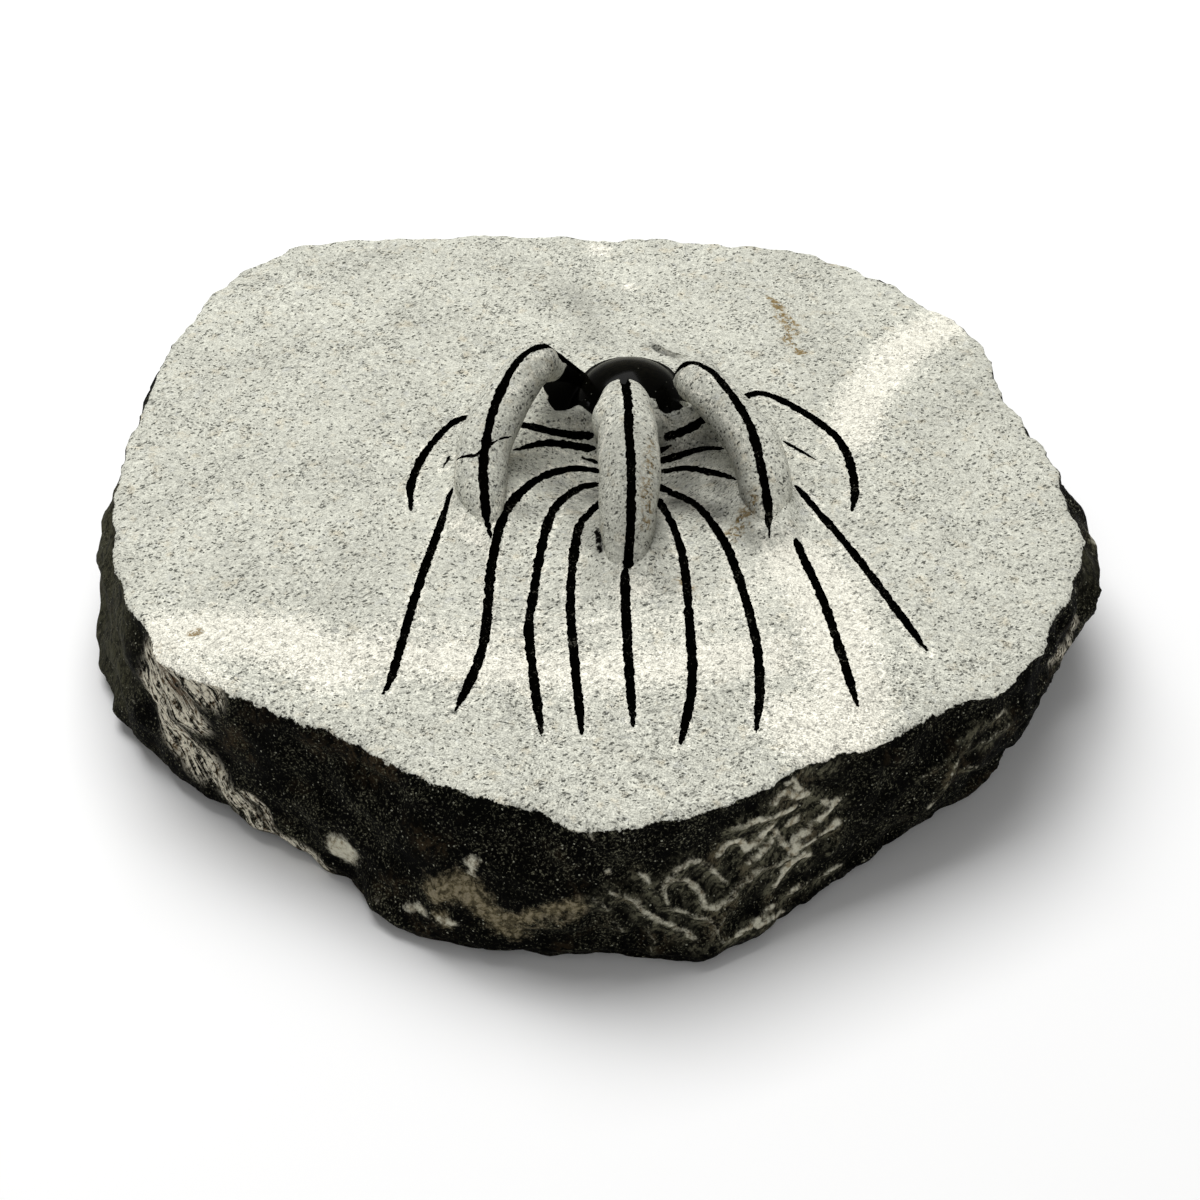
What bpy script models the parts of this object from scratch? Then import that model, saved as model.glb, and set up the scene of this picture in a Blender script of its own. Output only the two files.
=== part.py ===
"""A carved stone: one irregular dark slab with a tooled top, three claws that arch over a hollow
to a polished ball, and grooves that run out of the hollow across the slab.

All of it is one stone, so it is one object. Lengths are millimetres until a mesh is made.
+X is the stone's right, -Y its front and +Z up, and the flat underside lies on Z = 0.
"""
import math

import bpy
import bmesh
import numpy as np
from mathutils import Vector, noise

MM = 0.001

# The frame's origin is the middle of the underside's box, at this plan point of the measures below.
ORIGIN = Vector((-4.0, 31.0, 0.0))

# The slab: its height, and the radius of its top edge about the hub, by azimuth in degrees.
SLAB_TOP = 88.0
HUB = (15.0, 50.0)
TOP_EDGE = (
    (0, 216), (10, 206), (18, 204), (30, 216), (47, 223), (65, 222), (80, 214), (93, 213),
    (104, 222), (119, 243), (132, 278), (144, 275), (155, 268), (170, 255), (184, 259),
    (203, 258), (213, 258), (222, 250), (230, 237), (240, 236), (250, 246), (264, 256),
    (277, 245), (286, 231), (300, 233), (315, 235), (334, 228), (341, 220), (346, 224),
)
# How far the flank stands out past the top edge, by azimuth, at its belly and at its foot.
BELLY_HEIGHT = 45.0
BELLY = (
    (0, 19), (20, 12), (50, 6), (100, 8), (140, 5), (170, 11), (190, 10), (205, 6), (220, -2),
    (235, 6), (250, 12), (270, 6), (285, 8), (300, -2), (315, 2), (330, 2), (345, 15),
)
FOOT_HEIGHT = 9.0
FOOT = (
    (0, 6), (20, 2), (50, -8), (100, -4), (140, -8), (165, 8), (180, 12), (195, 14), (205, 7),
    (212, 1), (220, -5), (232, 9), (245, 19), (258, 6), (266, 0), (277, 15), (285, 12),
    (292, 0), (303, -15), (312, -14), (320, -10), (335, -16), (347, 0),
)
UNDERSIDE_INSET = 7.0
FLANK_LEVELS = (80.0, 69.0, 57.0, 45.0, 33.0, 21.0, 9.0)
TOP_RINGS = (7.0, 14.0, 21.0, 28.0, 35.0, 42.0, 49.0, 56.0, 63.0, 72.0, 86.0, 110.0, 145.0)
EDGE_RINGS = (0.82, 0.95)
SLAB_SEGMENTS = 80

# The hollow under the claws, and the ball at its back in a low swell.
HOLLOW = (15.5, 79.0)
HOLLOW_DEPTH = 25.0
HOLLOW_HALF_WIDTH = 64.0
HOLLOW_FRONT = 83.0
HOLLOW_BACK = 25.0
HOLLOW_SQUARENESS = 2.4
BALL = (15.5, 116.0, 69.5)
BALL_RADIUS = 33.0
SWELL_HEIGHT = 8.0
SWELL_RADIUS = 36.0

# The ridge line of each claw, from its root on the slab to its tip on the ball.
CLAWS = {
    "left_claw": ((-54, -5, 86), (-56, 8, 103), (-57, 24, 112), (-54, 46, 122), (-48, 66, 129),
                  (-39, 82, 136), (-29, 95, 134), (-22, 106, 121), (-16, 116, 108), (-6, 125, 92)),
    "middle_claw": ((12, -41, 84), (14, -26, 99), (15, -6, 112), (15, 15, 120), (14, 38, 124),
                    (14, 57, 124), (13, 76, 121), (12, 91, 115), (12, 102, 105), (12, 108, 95)),
    "right_claw": ((82, -6, 85), (82, 5, 98), (79, 22, 110), (75, 42, 118), (68, 61, 122),
                   (58, 79, 126), (50, 91, 124), (44, 101, 117), (40, 107, 110), (38, 112, 102)),
}
# Every section hangs from its ridge towards this y and z, and leans sideways by the lean table.
CLAW_AIM = (55.0, -40.0)
# The sideways lean along each claw, as (share of length, lean).
CLAW_LEAN = {
    "left_claw": ((0, 0), (0.3, 0.2), (0.5, 0), (0.62, -0.35), (0.72, -0.2), (0.82, 0.3), (1, 0.6)),
    "middle_claw": ((0, 0), (1, 0)),
    "right_claw": ((0, 0), (0.25, -0.2), (0.45, -0.15), (0.65, 0.3), (0.78, 0.2), (0.88, -0.4), (1, -0.8)),
}
# The thickness along each claw, as (share of length, thickness), and its width to thickness.
CLAW_THICKNESS = {
    "left_claw": ((0, 6), (0.08, 17), (0.2, 24), (0.42, 24), (0.56, 21), (0.7, 19), (0.8, 17.5),
                  (0.9, 12), (1, 6)),
    "middle_claw": ((0, 6), (0.08, 15), (0.2, 22), (0.35, 26), (0.5, 28), (0.7, 25.5), (0.85, 21),
                    (0.95, 16), (1, 10)),
    "right_claw": ((0, 6), (0.08, 17), (0.2, 24), (0.45, 24.5), (0.6, 22), (0.75, 21), (0.88, 20),
                   (1, 15)),
}
CLAW_BREADTH = 1.1
CLAW_STEPS = 18
CLAW_SIDES = 12

# The grooves' courses in plan, each from the hollow outwards.
GROOVES = {
    "left_far": ((-2, 91), (-28, 89), (-50, 90), (-71, 95), (-87, 69), (-94, 40), (-93, 17)),
    "left_dash": ((-2, 87), (-25, 83), (-44, 66)),
    "left_tick": ((-76, 62), (-79, 52)),
    "left_short": ((-1, 81), (-10, 81)),
    "left_outer": ((-73, 31), (-81, -10), (-88, -50), (-95, -102), (-99, -119)),
    "left_wide": ((1, 75), (-11, 72), (-23, 60), (-35, 39), (-46, 10), (-52, -23), (-54, -79),
                  (-60, -110), (-66, -130)),
    "left_mid": ((0, 65), (-10, 54), (-20, 29), (-27, -1), (-32, -50), (-33, -79), (-26, -147)),
    "left_near": ((2, 47), (-5, 21), (-11, 0), (-14, -47), (-12, -91), (-8, -146)),
    "centre": ((12, -52), (13, -91), (15, -141)),
    "right_near": ((29, 48), (34, 12), (40, -20), (42, -68), (42, -113), (36, -153)),
    "right_mid": ((29, 64), (42, 40), (52, 14), (63, -18), (72, -74), (73, -113), (70, -145)),
    "right_wide": ((30, 75), (45, 70), (60, 52), (68, 38)),
    "right_dash": ((29, 82), (51, 81), (63, 74)),
    "right_short": ((29, 86), (38, 88)),
    "right_far": ((29, 90), (50, 93), (68, 104), (83, 116), (104, 100), (122, 74), (127, 40),
                  (124, 16)),
    "right_tick": ((93, 75), (109, 59)),
    "right_outer": ((97, 37), (114, 3), (131, -36), (152, -88)),
    "right_spare": ((95, -7), (107, -59), (117, -127)),
}
GROOVE_WIDTH = 5.0
GROOVE_DEPTH = 3.6
GROOVE_CLEAR = 2.5
GROOVE_STEP = 11.0
RIDGE_SHARE = (0.06, 0.93)


def clear_scene():
    """Remove whatever the file opened with."""
    for item in list(bpy.data.objects):
        bpy.data.objects.remove(item, do_unlink=True)


def around(table, azimuth):
    """Read an (azimuth, value) table at any azimuth, in degrees."""
    marks = [row[0] for row in table]
    values = [row[1] for row in table]
    return float(np.interp(azimuth % 360.0, marks, values, period=360.0))


def top_height(x, y):
    """Height of the tooled top at a plan point, with the hollow and the swell round the ball."""
    reach = HOLLOW_FRONT if y < HOLLOW[1] else HOLLOW_BACK
    across = abs(x - HOLLOW[0]) / HOLLOW_HALF_WIDTH
    along = abs(y - HOLLOW[1]) / reach
    rho = (across ** HOLLOW_SQUARENESS + along ** HOLLOW_SQUARENESS) ** (1.0 / HOLLOW_SQUARENESS)
    hollow = HOLLOW_DEPTH * max(0.0, 1.0 - rho * rho) ** 2
    distance = math.hypot(x - BALL[0], y - BALL[1])
    swell = SWELL_HEIGHT * math.exp(-((distance / SWELL_RADIUS) ** 2))
    roll = 1.6 * noise.noise(Vector((x / 110.0, y / 110.0, 3.0)))
    return SLAB_TOP + swell - hollow + roll


def flank_radius(azimuth, height):
    """Radius of the broken flank: edge, belly and foot, with ledges and chips."""
    stand_out = np.interp(
        height,
        (0.0, FOOT_HEIGHT, BELLY_HEIGHT, SLAB_TOP),
        (around(FOOT, azimuth) - UNDERSIDE_INSET, around(FOOT, azimuth), around(BELLY, azimuth), 0.0),
    )
    turn = math.radians(azimuth)
    spot = Vector((math.cos(turn), math.sin(turn), 0.0))
    ledge = 5.0 * noise.noise(spot * 5.0 + Vector((0.0, 0.0, height / 24.0)))
    chip = 3.5 * noise.noise(spot * 16.0 + Vector((7.0, 0.0, height / 13.0)))
    return around(TOP_EDGE, azimuth) + float(stand_out) + ledge + chip


def plan_point(azimuth, radius):
    """Plan point at a radius from the hub."""
    turn = math.radians(azimuth)
    return HUB[0] + radius * math.cos(turn), HUB[1] + radius * math.sin(turn)


def slab_rings():
    """The slab's rings of points, from just off the hub out over the edge and down to Z = 0."""
    azimuths = [360.0 * step / SLAB_SEGMENTS for step in range(SLAB_SEGMENTS)]
    edge = [flank_radius(azimuth, SLAB_TOP) for azimuth in azimuths]
    rings = []
    for radius in TOP_RINGS:
        points = [plan_point(azimuth, radius) for azimuth in azimuths]
        rings.append([(x, y, top_height(x, y)) for x, y in points])
    for share in EDGE_RINGS:
        points = [plan_point(azimuth, radius * share) for azimuth, radius in zip(azimuths, edge)]
        rings.append([(x, y, top_height(x, y)) for x, y in points])
    points = [plan_point(azimuth, radius) for azimuth, radius in zip(azimuths, edge)]
    rings.append([(x, y, top_height(x, y) - 2.0) for x, y in points])
    for height in FLANK_LEVELS + (0.0,):
        points = [plan_point(azimuth, flank_radius(azimuth, height)) for azimuth in azimuths]
        rings.append([(x, y, height) for x, y in points])
    return rings


def loft(rings, start=None, end=None):
    """Close rings of points into one body, with a point or a flat face at each end."""
    shape = bmesh.new()
    loops = [[shape.verts.new(Vector(point) * MM) for point in ring] for ring in rings]
    count = len(loops[0])
    for first, second in zip(loops, loops[1:]):
        for side in range(count):
            after = (side + 1) % count
            shape.faces.new((first[side], first[after], second[after], second[side]))
    for loop, tip in ((loops[0], start), (loops[-1], end)):
        if tip is None:
            shape.faces.new(loop)
            continue
        point = shape.verts.new(Vector(tip) * MM)
        for side in range(count):
            shape.faces.new((loop[side], loop[(side + 1) % count], point))
    bmesh.ops.recalc_face_normals(shape, faces=shape.faces)
    return shape


def to_object(name, shape):
    """Turn a bmesh into a named object."""
    mesh = bpy.data.meshes.new(name)
    shape.to_mesh(mesh)
    shape.free()
    item = bpy.data.objects.new(name, mesh)
    item.location = -ORIGIN * MM
    bpy.context.collection.objects.link(item)
    return item


def smooth_course(points, steps):
    """Points at even shares along a smooth curve through the given ones."""
    ends = [2 * np.array(points[0]) - np.array(points[1]), 2 * np.array(points[-1]) - np.array(points[-2])]
    marks = [ends[0]] + [np.array(point, dtype=float) for point in points] + [ends[1]]
    dense = []
    for index in range(1, len(marks) - 2):
        before, here, there, after = marks[index - 1:index + 3]
        for share in np.linspace(0.0, 1.0, 12, endpoint=False):
            dense.append(0.5 * (2 * here + (there - before) * share
                                + (2 * before - 5 * here + 4 * there - after) * share ** 2
                                + (3 * here - before - 3 * there + after) * share ** 3))
    dense.append(marks[-2])
    dense = np.array(dense)
    run = np.concatenate(([0.0], np.cumsum(np.linalg.norm(np.diff(dense, axis=0), axis=1))))
    wanted = np.linspace(0.0, run[-1], steps + 1)
    return np.stack([np.interp(wanted, run, dense[:, axis]) for axis in range(dense.shape[1])], axis=1)


def claw_table(table, steps):
    """A (share, value) table of a claw read at even steps along it."""
    shares, values = zip(*table)
    return np.interp(np.linspace(0.0, 1.0, steps + 1), shares, values)


def claw_frames(name):
    """Ridge points of a claw with the directions out of its ridge and across it."""
    course = smooth_course(CLAWS[name], CLAW_STEPS)
    along = np.gradient(course, axis=0)
    along /= np.linalg.norm(along, axis=1)[:, None]
    out = course * (0.0, 1.0, 1.0) - np.array((0.0,) + CLAW_AIM)
    out /= np.linalg.norm(out, axis=1)[:, None]
    out[:, 0] += claw_table(CLAW_LEAN[name], CLAW_STEPS)
    out -= np.sum(out * along, axis=1)[:, None] * along
    out /= np.linalg.norm(out, axis=1)[:, None]
    return course, out, np.cross(along, out)


def claw_body(name):
    """One claw: oval sections hung under its ridge line."""
    course, out, across = claw_frames(name)
    thickness = claw_table(CLAW_THICKNESS[name], CLAW_STEPS)
    rings = []
    for step, point in enumerate(course):
        half = thickness[step] / 2
        middle = point - out[step] * half
        turns = [2 * math.pi * side / CLAW_SIDES for side in range(CLAW_SIDES)]
        rings.append([middle + out[step] * math.cos(turn) * half
                      + across[step] * math.sin(turn) * half * CLAW_BREADTH for turn in turns])
    return to_object(name, loft(rings))


def wedge(name, course, out, across):
    """A V-shaped cutter along a course, fading out at both ends."""
    rings = []
    last = len(course) - 1
    for step, point in enumerate(course):
        fade = 0.25 if step in (0, last) else 1.0
        half = across[step] * GROOVE_WIDTH / 2 * fade
        lift = out[step] * GROOVE_CLEAR
        spread = 1.0 + GROOVE_CLEAR / GROOVE_DEPTH
        rings.append([point + lift - half * spread, point + lift + half * spread,
                      point - out[step] * GROOVE_DEPTH * fade])
    return to_object(name, loft(rings))


def slab_groove(name, plan):
    """The cutter of one groove that runs across the slab."""
    length = sum(math.dist(first, second) for first, second in zip(plan, plan[1:]))
    course = smooth_course(plan, max(2, round(length / GROOVE_STEP)))
    points = np.array([(x, y, top_height(x, y)) for x, y in course])
    along = np.gradient(points, axis=0)
    along /= np.linalg.norm(along, axis=1)[:, None]
    across = np.cross(along, (0.0, 0.0, 1.0))
    across /= np.linalg.norm(across, axis=1)[:, None]
    return wedge(name, points, np.cross(across, along), across)


def ridge_groove(name):
    """The cutter of the groove along a claw's ridge."""
    course, out, across = claw_frames(name)
    first, last = (round(share * CLAW_STEPS) for share in RIDGE_SHARE)
    cut = slice(first, last + 1)
    return wedge(f"{name}_groove", course[cut], out[cut], across[cut])


def ball_body(name):
    """The polished ball."""
    shape = bmesh.new()
    bmesh.ops.create_uvsphere(shape, u_segments=28, v_segments=14, radius=BALL_RADIUS * MM)
    bmesh.ops.translate(shape, verts=shape.verts, vec=Vector(BALL) * MM)
    return to_object(name, shape)


def combine(body, tools, operation):
    """Add or cut each tool by a Boolean, and keep the tools as hidden guides."""
    for tool in tools:
        step = body.modifiers.new(f"{operation.lower()}_{tool.name}", "BOOLEAN")
        step.operation = operation
        step.solver = "EXACT"
        step.object = tool
        tool.hide_render = True
        tool.display_type = "WIRE"


def stone_material():
    """The pale tooled surface of the dark stone."""
    material = bpy.data.materials.new("tooled_stone")
    material.use_nodes = True
    surface = material.node_tree.nodes["Principled BSDF"]
    surface.inputs["Base Color"].default_value = (0.47, 0.46, 0.42, 1.0)
    surface.inputs["Roughness"].default_value = 0.9
    surface.inputs["Metallic"].default_value = 0.0
    return material


def build():
    """Model the whole stone."""
    clear_scene()
    hub = (HUB[0], HUB[1], top_height(*HUB))
    stone = to_object("carved_stone", loft(slab_rings(), start=hub))
    stone.data.materials.append(stone_material())
    claws = [claw_body(name) for name in CLAWS]
    combine(stone, [ball_body("ball")] + claws, "UNION")
    grooves = [slab_groove(f"{name}_groove", plan) for name, plan in GROOVES.items()]
    grooves += [ridge_groove(name) for name in CLAWS]
    combine(stone, grooves, "DIFFERENCE")


build()
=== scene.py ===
"""A carved stone: a dark slab with a pale tooled top, grooved claws over a hollow, and a polished ball.

The whole thing is one piece of rock, so it is dressed as one piece. Lengths are millimetres in the
carver's measures until a mesh is made: +X is the stone's right, -Y its front and +Z up.
"""
from __future__ import annotations

import logging
import math
from dataclasses import dataclass, field, replace
from enum import Enum
from typing import Any

import bpy
import numpy as np
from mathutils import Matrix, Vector, noise
from mathutils.geometry import delaunay_2d_cdt


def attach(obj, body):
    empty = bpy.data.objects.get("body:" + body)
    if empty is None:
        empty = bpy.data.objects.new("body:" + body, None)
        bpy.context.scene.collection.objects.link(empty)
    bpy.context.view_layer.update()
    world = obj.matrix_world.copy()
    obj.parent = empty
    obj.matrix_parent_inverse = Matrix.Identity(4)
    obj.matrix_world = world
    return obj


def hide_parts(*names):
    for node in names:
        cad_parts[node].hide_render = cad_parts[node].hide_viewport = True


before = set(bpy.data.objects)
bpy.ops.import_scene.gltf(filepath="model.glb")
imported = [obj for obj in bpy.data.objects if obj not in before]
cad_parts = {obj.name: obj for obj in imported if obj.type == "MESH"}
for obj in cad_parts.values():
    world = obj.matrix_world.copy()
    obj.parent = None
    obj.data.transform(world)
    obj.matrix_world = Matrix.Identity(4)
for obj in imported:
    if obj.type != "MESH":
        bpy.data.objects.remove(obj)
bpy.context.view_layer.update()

LOG = logging.getLogger("carved_stone")
MM = 0.001
ORIGIN = np.array((-4.0, 31.0, 0.0))
BALL_MIDDLE = (15.5, 116.0, 70.6)
BALL_RADIUS = 33.0
CLAW_SIDES = 40
GROOVE_SIDES = 10
WOBBLE_SCALE = 160.0
CHATTER_SCALE = 430.0

Table = tuple[tuple[float, ...], ...]
Course = Table
Colour = tuple[float, ...]
Size = tuple[float, float, float]
Socket = bpy.types.NodeSocket


class Way(Enum):
    """How a Boolean joins a tool to the stone."""

    ADD = "UNION"
    CUT = "DIFFERENCE"


class Trace(Enum):
    """The kinds of mark that are laid on the stone as a value at each point."""

    RIM = "rim"
    # Painted pools of sunlight, and the pale scuffed lips of the grooves.
    PAINTED_SUN_AND_SCUFFS = "pale"
    # Pale bruises, and painted highlights on the chip ridges.
    RUST = "rust"
    BRUISE_AND_HIGHLIGHT = "bruise"
    # Painted light on the chips' scallops.
    RIDGE_LIGHT = "haze"
    CLAY = "clay"
    STRAND = "strand"
    # Worn faces of the sides, and the painted sheen on the ball's crown.
    WORN_AND_SHEEN = "worn"
    # The ball's polished black, and painted black shade around it.
    BLACK_POLISH_AND_SHADE = "polish"
    # Painted shade, as a share of darkening.
    PAINTED_SHADE = "shelter"


# ---------------------------------------------------------------- measures and small tools


def place(points: np.ndarray) -> np.ndarray:
    """Turn the carver's measures into metres of the shared frame.

    Args:
        points: rows of x, y, z in millimetres.

    Returns:
        The same rows in metres.
    """
    return (np.asarray(points, dtype=float) - ORIGIN) * MM


def rough(points: np.ndarray, size: float, seed: float) -> np.ndarray:
    """Smooth noise from -1 to 1 at each point.

    Args:
        points: rows of x, y, z in millimetres.
        size: length over which the noise changes, in millimetres.
        seed: shifts the noise, so that two layers differ.

    Returns:
        One value for each row.
    """
    shift = Vector((seed * 7.3, seed * 3.1, seed))
    return np.array([noise.noise(Vector(point) / size + shift) for point in points])


def around(table: Table, azimuth: np.ndarray) -> np.ndarray:
    """Read an (azimuth, value) table at any azimuths, in degrees."""
    marks, values = zip(*table)
    return np.interp(np.mod(azimuth, 360.0), marks, values, period=360.0)


def smooth_course(points: Course, steps: int) -> np.ndarray:
    """Points at even distances along a smooth curve through the given ones.

    Args:
        points: the points that the curve goes through.
        steps: how many even steps it is cut into.

    Returns:
        steps + 1 rows.
    """
    given = np.array(points, dtype=float)
    marks = np.vstack((2 * given[0] - given[1], given, 2 * given[-1] - given[-2]))
    dense = []
    for before, here, there, after in zip(marks, marks[1:], marks[2:], marks[3:]):
        for share in np.linspace(0.0, 1.0, 12, endpoint=False):
            dense.append(0.5 * (2 * here + (there - before) * share
                                + (2 * before - 5 * here + 4 * there - after) * share ** 2
                                + (3 * here - before - 3 * there + after) * share ** 3))
    dense = np.vstack((dense, given[-1]))
    run = np.concatenate(([0.0], np.cumsum(np.linalg.norm(np.diff(dense, axis=0), axis=1))))
    wanted = np.linspace(0.0, run[-1], steps + 1)
    return np.stack([np.interp(wanted, run, column) for column in dense.T], axis=1)


def unit_rows(rows: np.ndarray) -> np.ndarray:
    """Directions of length 1."""
    return rows / np.linalg.norm(rows, axis=1)[:, None]


def distance_to(points: np.ndarray, course: Course) -> np.ndarray:
    """Distance of each point from a course of straight pieces, or from a single point."""
    marks = np.array(course, dtype=float)
    if len(marks) == 1:
        return np.linalg.norm(points - marks[0], axis=1)
    nearest = np.full(len(points), np.inf)
    for start, end in zip(marks, marks[1:]):
        along = end - start
        share = np.clip((points - start) @ along / max(along @ along, 1e-9), 0.0, 1.0)
        nearest = np.minimum(nearest, np.linalg.norm(points - start - share[:, None] * along, axis=1))
    return nearest


@dataclass(frozen=True)
class Mark:
    """A soft mark along a course of points, fading out over its spread."""

    course: Course
    spread: float
    strength: float = 1.0

    def lay(self, points: np.ndarray) -> np.ndarray:
        """The mark's value at each point, from its strength on the course down to 0."""
        reach = distance_to(points, self.course) / self.spread
        return self.strength / (1.0 + 0.6 * reach ** 2) ** 2


def lay_all(marks: tuple[Mark, ...], points: np.ndarray, wander: float = 0.0) -> np.ndarray:
    """The strongest of several marks at each point.

    Args:
        marks: the marks.
        points: rows of x, y, z in millimetres.
        wander: how far the marks' outlines stray, in millimetres.

    Returns:
        One value for each point.
    """
    if wander:
        points = points + wander * np.stack([rough(points, 6.5, seed) + 0.5 * rough(points, 2.8, seed + 4)
                                             for seed in (11.0, 12.0, 13.0)], axis=1)
    value = np.zeros(len(points))
    for mark in marks:
        value = np.maximum(value, mark.lay(points))
    return value


# ---------------------------------------------------------------- where the marks lie

CHIP_RIDGES = (
    Mark(((59, -188, 72), (65, -185, 72), (72, -182, 71), (78, -178, 70), (87, -172, 68)), 2.2, 1.12),
    Mark(((54, -191, 58), (57, -189, 61), (61, -187, 62), (65, -185, 56), (70, -183, 57), (77, -179, 64)),
         2.6, 1.12),
    Mark(((67, -188, 50), (71, -185, 52), (75, -181, 54), (79, -177, 58)), 1.9, 1.12),
    Mark(((78, -177, 59), (81, -177, 54), (85, -178, 48), (88, -178, 45)), 2.2, 1.12),
    Mark(((77, -177, 77), (80, -175, 79), (84, -173, 78), (88, -171, 74), (94, -168, 72), (103, -164, 63)),
         2.5, 1.12),
    Mark(((82, -172, 84), (86, -171, 84), (88, -171, 80), (91, -169, 76)), 1.8, 1.12),
    Mark(((93, -169, 79), (96, -167, 83), (100, -166, 86), (109, -162, 84)), 2.0, 1.12),
    Mark(((90, -170, 82), (91, -168, 85), (93, -165, 87)), 1.5, 1.12),
    Mark(((83, -174, 58), (88, -171, 59), (91, -170, 62), (93, -169, 65)), 2.0, 1.12),
    Mark(((88, -175, 50), (91, -171, 52), (96, -167, 54), (100, -165, 56), (108, -161, 62)), 2.3, 1.12),
    Mark(((88, -177, 47), (92, -173, 47), (98, -168, 47), (103, -165, 47), (108, -162, 49)), 2.0, 1.12),
    Mark(((59, -195, 38), (66, -190, 41), (72, -187, 45), (82, -181, 42), (87, -178, 45)), 3.4, 0.67),
    Mark(((80, -183, 30), (83, -180, 34), (86, -178, 39), (91, -175, 41), (96, -172, 38)), 2.6, 1.12),
    Mark(((18, -203, 59), (20, -203, 55), (24, -203, 51), (28, -204, 46), (31, -204, 39), (35, -204, 36),
          (42, -202, 32), (50, -201, 27)), 2.1, 0.76),
    Mark(((27, -203, 50), (31, -202, 54), (36, -201, 53), (41, -199, 47), (45, -200, 41), (47, -201, 36),
          (52, -200, 34), (57, -197, 36), (61, -193, 38)), 2.4, 0.76),
    Mark(((34, -201, 58), (39, -198, 62), (45, -196, 59), (49, -194, 54), (57, -194, 42)), 2.4, 0.76),
    Mark(((5, -208, 52), (10, -207, 49), (15, -207, 46), (19, -207, 39), (25, -206, 32), (31, -205, 28),
          (37, -205, 23), (43, -205, 18)), 2.3, 0.76),
    Mark(((-4, -210, 49), (0, -210, 47), (4, -210, 43), (4, -210, 37)), 2.0, 0.61),
    Mark(((2, -208, 31), (6, -208, 33), (11, -207, 27)), 1.8, 0.53),
    Mark(((46, -205, 14), (50, -202, 19), (54, -200, 24), (55, -200, 27)), 2.0, 0.61),
    Mark(((53, -201, 23), (53, -202, 18), (56, -202, 14)), 1.6, 0.61),
    Mark(((22, -207, 30), (23, -206, 19), (23, -205, 7)), 1.3, 0.61),
    Mark(((58, -202, 13), (67, -196, 15), (75, -187, 17), (83, -180, 18), (94, -171, 20)), 1.6, 1.12),
    Mark(((71, -193, 14), (78, -187, 13), (85, -180, 11)), 1.3, 1.12),
    Mark(((101, -166, 18), (106, -162, 18), (111, -158, 18)), 1.5, 0.9),
    Mark(((106, -165, 36), (108, -162, 41), (109, -161, 47)), 1.2, 0.78),
    Mark(((157, -132, 39), (160, -134, 50), (164, -131, 60), (169, -129, 71)), 1.4, 0.8),
    Mark(((170, -127, 61), (173, -126, 71), (179, -120, 72), (190, -106, 66)), 1.8, 0.8),
    Mark(((175, -122, 60), (181, -117, 59), (188, -111, 60), (193, -105, 59)), 1.5, 0.7),
    Mark(((170, -127, 51), (176, -122, 46), (185, -100, 26)), 1.3, 0.7),
    Mark(((147, -141, 58), (152, -139, 59), (155, -136, 60)), 1.3, 0.7),
)
BRUISES = (
    Mark(((-119, -155, 24),), 8.5, 1.5),
    Mark(((-67, -182, 86), (-67, -185, 82)), 3.0, 0.95),
    Mark(((-66, -188, 79), (-64, -190, 76)), 2.0, 0.75),
    Mark(((-59, -196, 59), (-54, -197, 60), (-58, -197, 52)), 3.4, 0.8),
    Mark(((4, -206, 61),), 2.6, 0.9),
    Mark(((-101, -178, 14),), 4.0, 0.5),
    Mark(((118, -153, 26),), 3.6, 0.8),
    Mark(((122, -153, 41),), 3.2, 0.6),
    Mark(((154, -135, 34),), 3.6, 0.8),
    Mark(((111, -160, 55),), 2.6, 0.5),
    Mark(((-15, -204, 86), (-11, -203, 87)), 2.2, 0.8),
    Mark(((-5, -206, 86), (-3, -207, 83)), 2.0, 0.8),
    Mark(((-87, -186, 20), (-80, -190, 23), (-72, -195, 22), (-66, -198, 22)), 3.6, 0.85),
    Mark(((-80, -187, 31), (-71, -193, 34)), 3.0, 0.4),
    Mark(((236, -9, 72), (235, -5, 77), (230, -7, 86)), 4.0, 0.6),
    Mark(((224, -26, 83), (230, -18, 69), (229, -24, 66)), 4.0, 0.8),
    Mark(((-230, -51, 57), (-221, -64, 71), (-215, -73, 74)), 2.6, 0.5),
    Mark(((-238, -38, 16), (-228, -58, 32), (-220, -70, 35), (-213, -77, 37)), 1.4, 0.5),
    Mark(((-241, -35, 12), (-237, -44, 10)), 4.0, 0.6),
)
CLOUDS = (
    Mark(((-74, -192, 37), (-66, -196, 41), (-58, -198, 43), (-53, -200, 36), (-47, -202, 30)), 9.0, 0.9),
    Mark(((-62, -198, 46), (-56, -199, 38)), 10.0, 0.9),
    Mark(((-52, -200, 31), (-43, -203, 25), (-38, -204, 23)), 8.0, 0.85),
    Mark(((-72, -196, 24), (-69, -197, 22)), 5.5, 0.9),
    Mark(((-43, -203, 31), (-35, -206, 33), (-28, -208, 37)), 5.0, 0.9),
    Mark(((-30, -208, 38), (-26, -209, 40)), 4.5, 0.95),
    Mark(((-21, -209, 42), (-15, -210, 45), (-10, -210, 45)), 6.0, 0.9),
    Mark(((-34, -205, 28), (-20, -208, 33), (-8, -210, 40)), 6.0, 0.6),
)
STRANDS = (
    Mark(((-212, -81, 60), (-207, -87, 46), (-200, -91, 34), (-190, -100, 28)), 9.0, 1.0),
    Mark(((-190, -100, 28), (-181, -108, 25), (-173, -116, 21), (-165, -122, 14)), 6.5, 1.0),
    Mark(((-165, -122, 14), (-145, -134, 9), (-128, -146, 4)), 4.0, 0.85),
    Mark(((-210, -80, 74), (-204, -88, 71), (-199, -93, 65), (-195, -97, 61), (-191, -101, 57)), 9.0, 1.0),
    Mark(((-204, -85, 86), (-195, -97, 85), (-186, -105, 81), (-180, -110, 81)), 8.0, 1.0),
    Mark(((-170, -116, 27), (-162, -124, 28), (-157, -127, 23), (-154, -129, 15)), 2.2, 0.9),
    Mark(((233, -25, 55), (230, -34, 48), (222, -50, 55), (214, -70, 65)), 5.0, 0.55),
)
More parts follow.
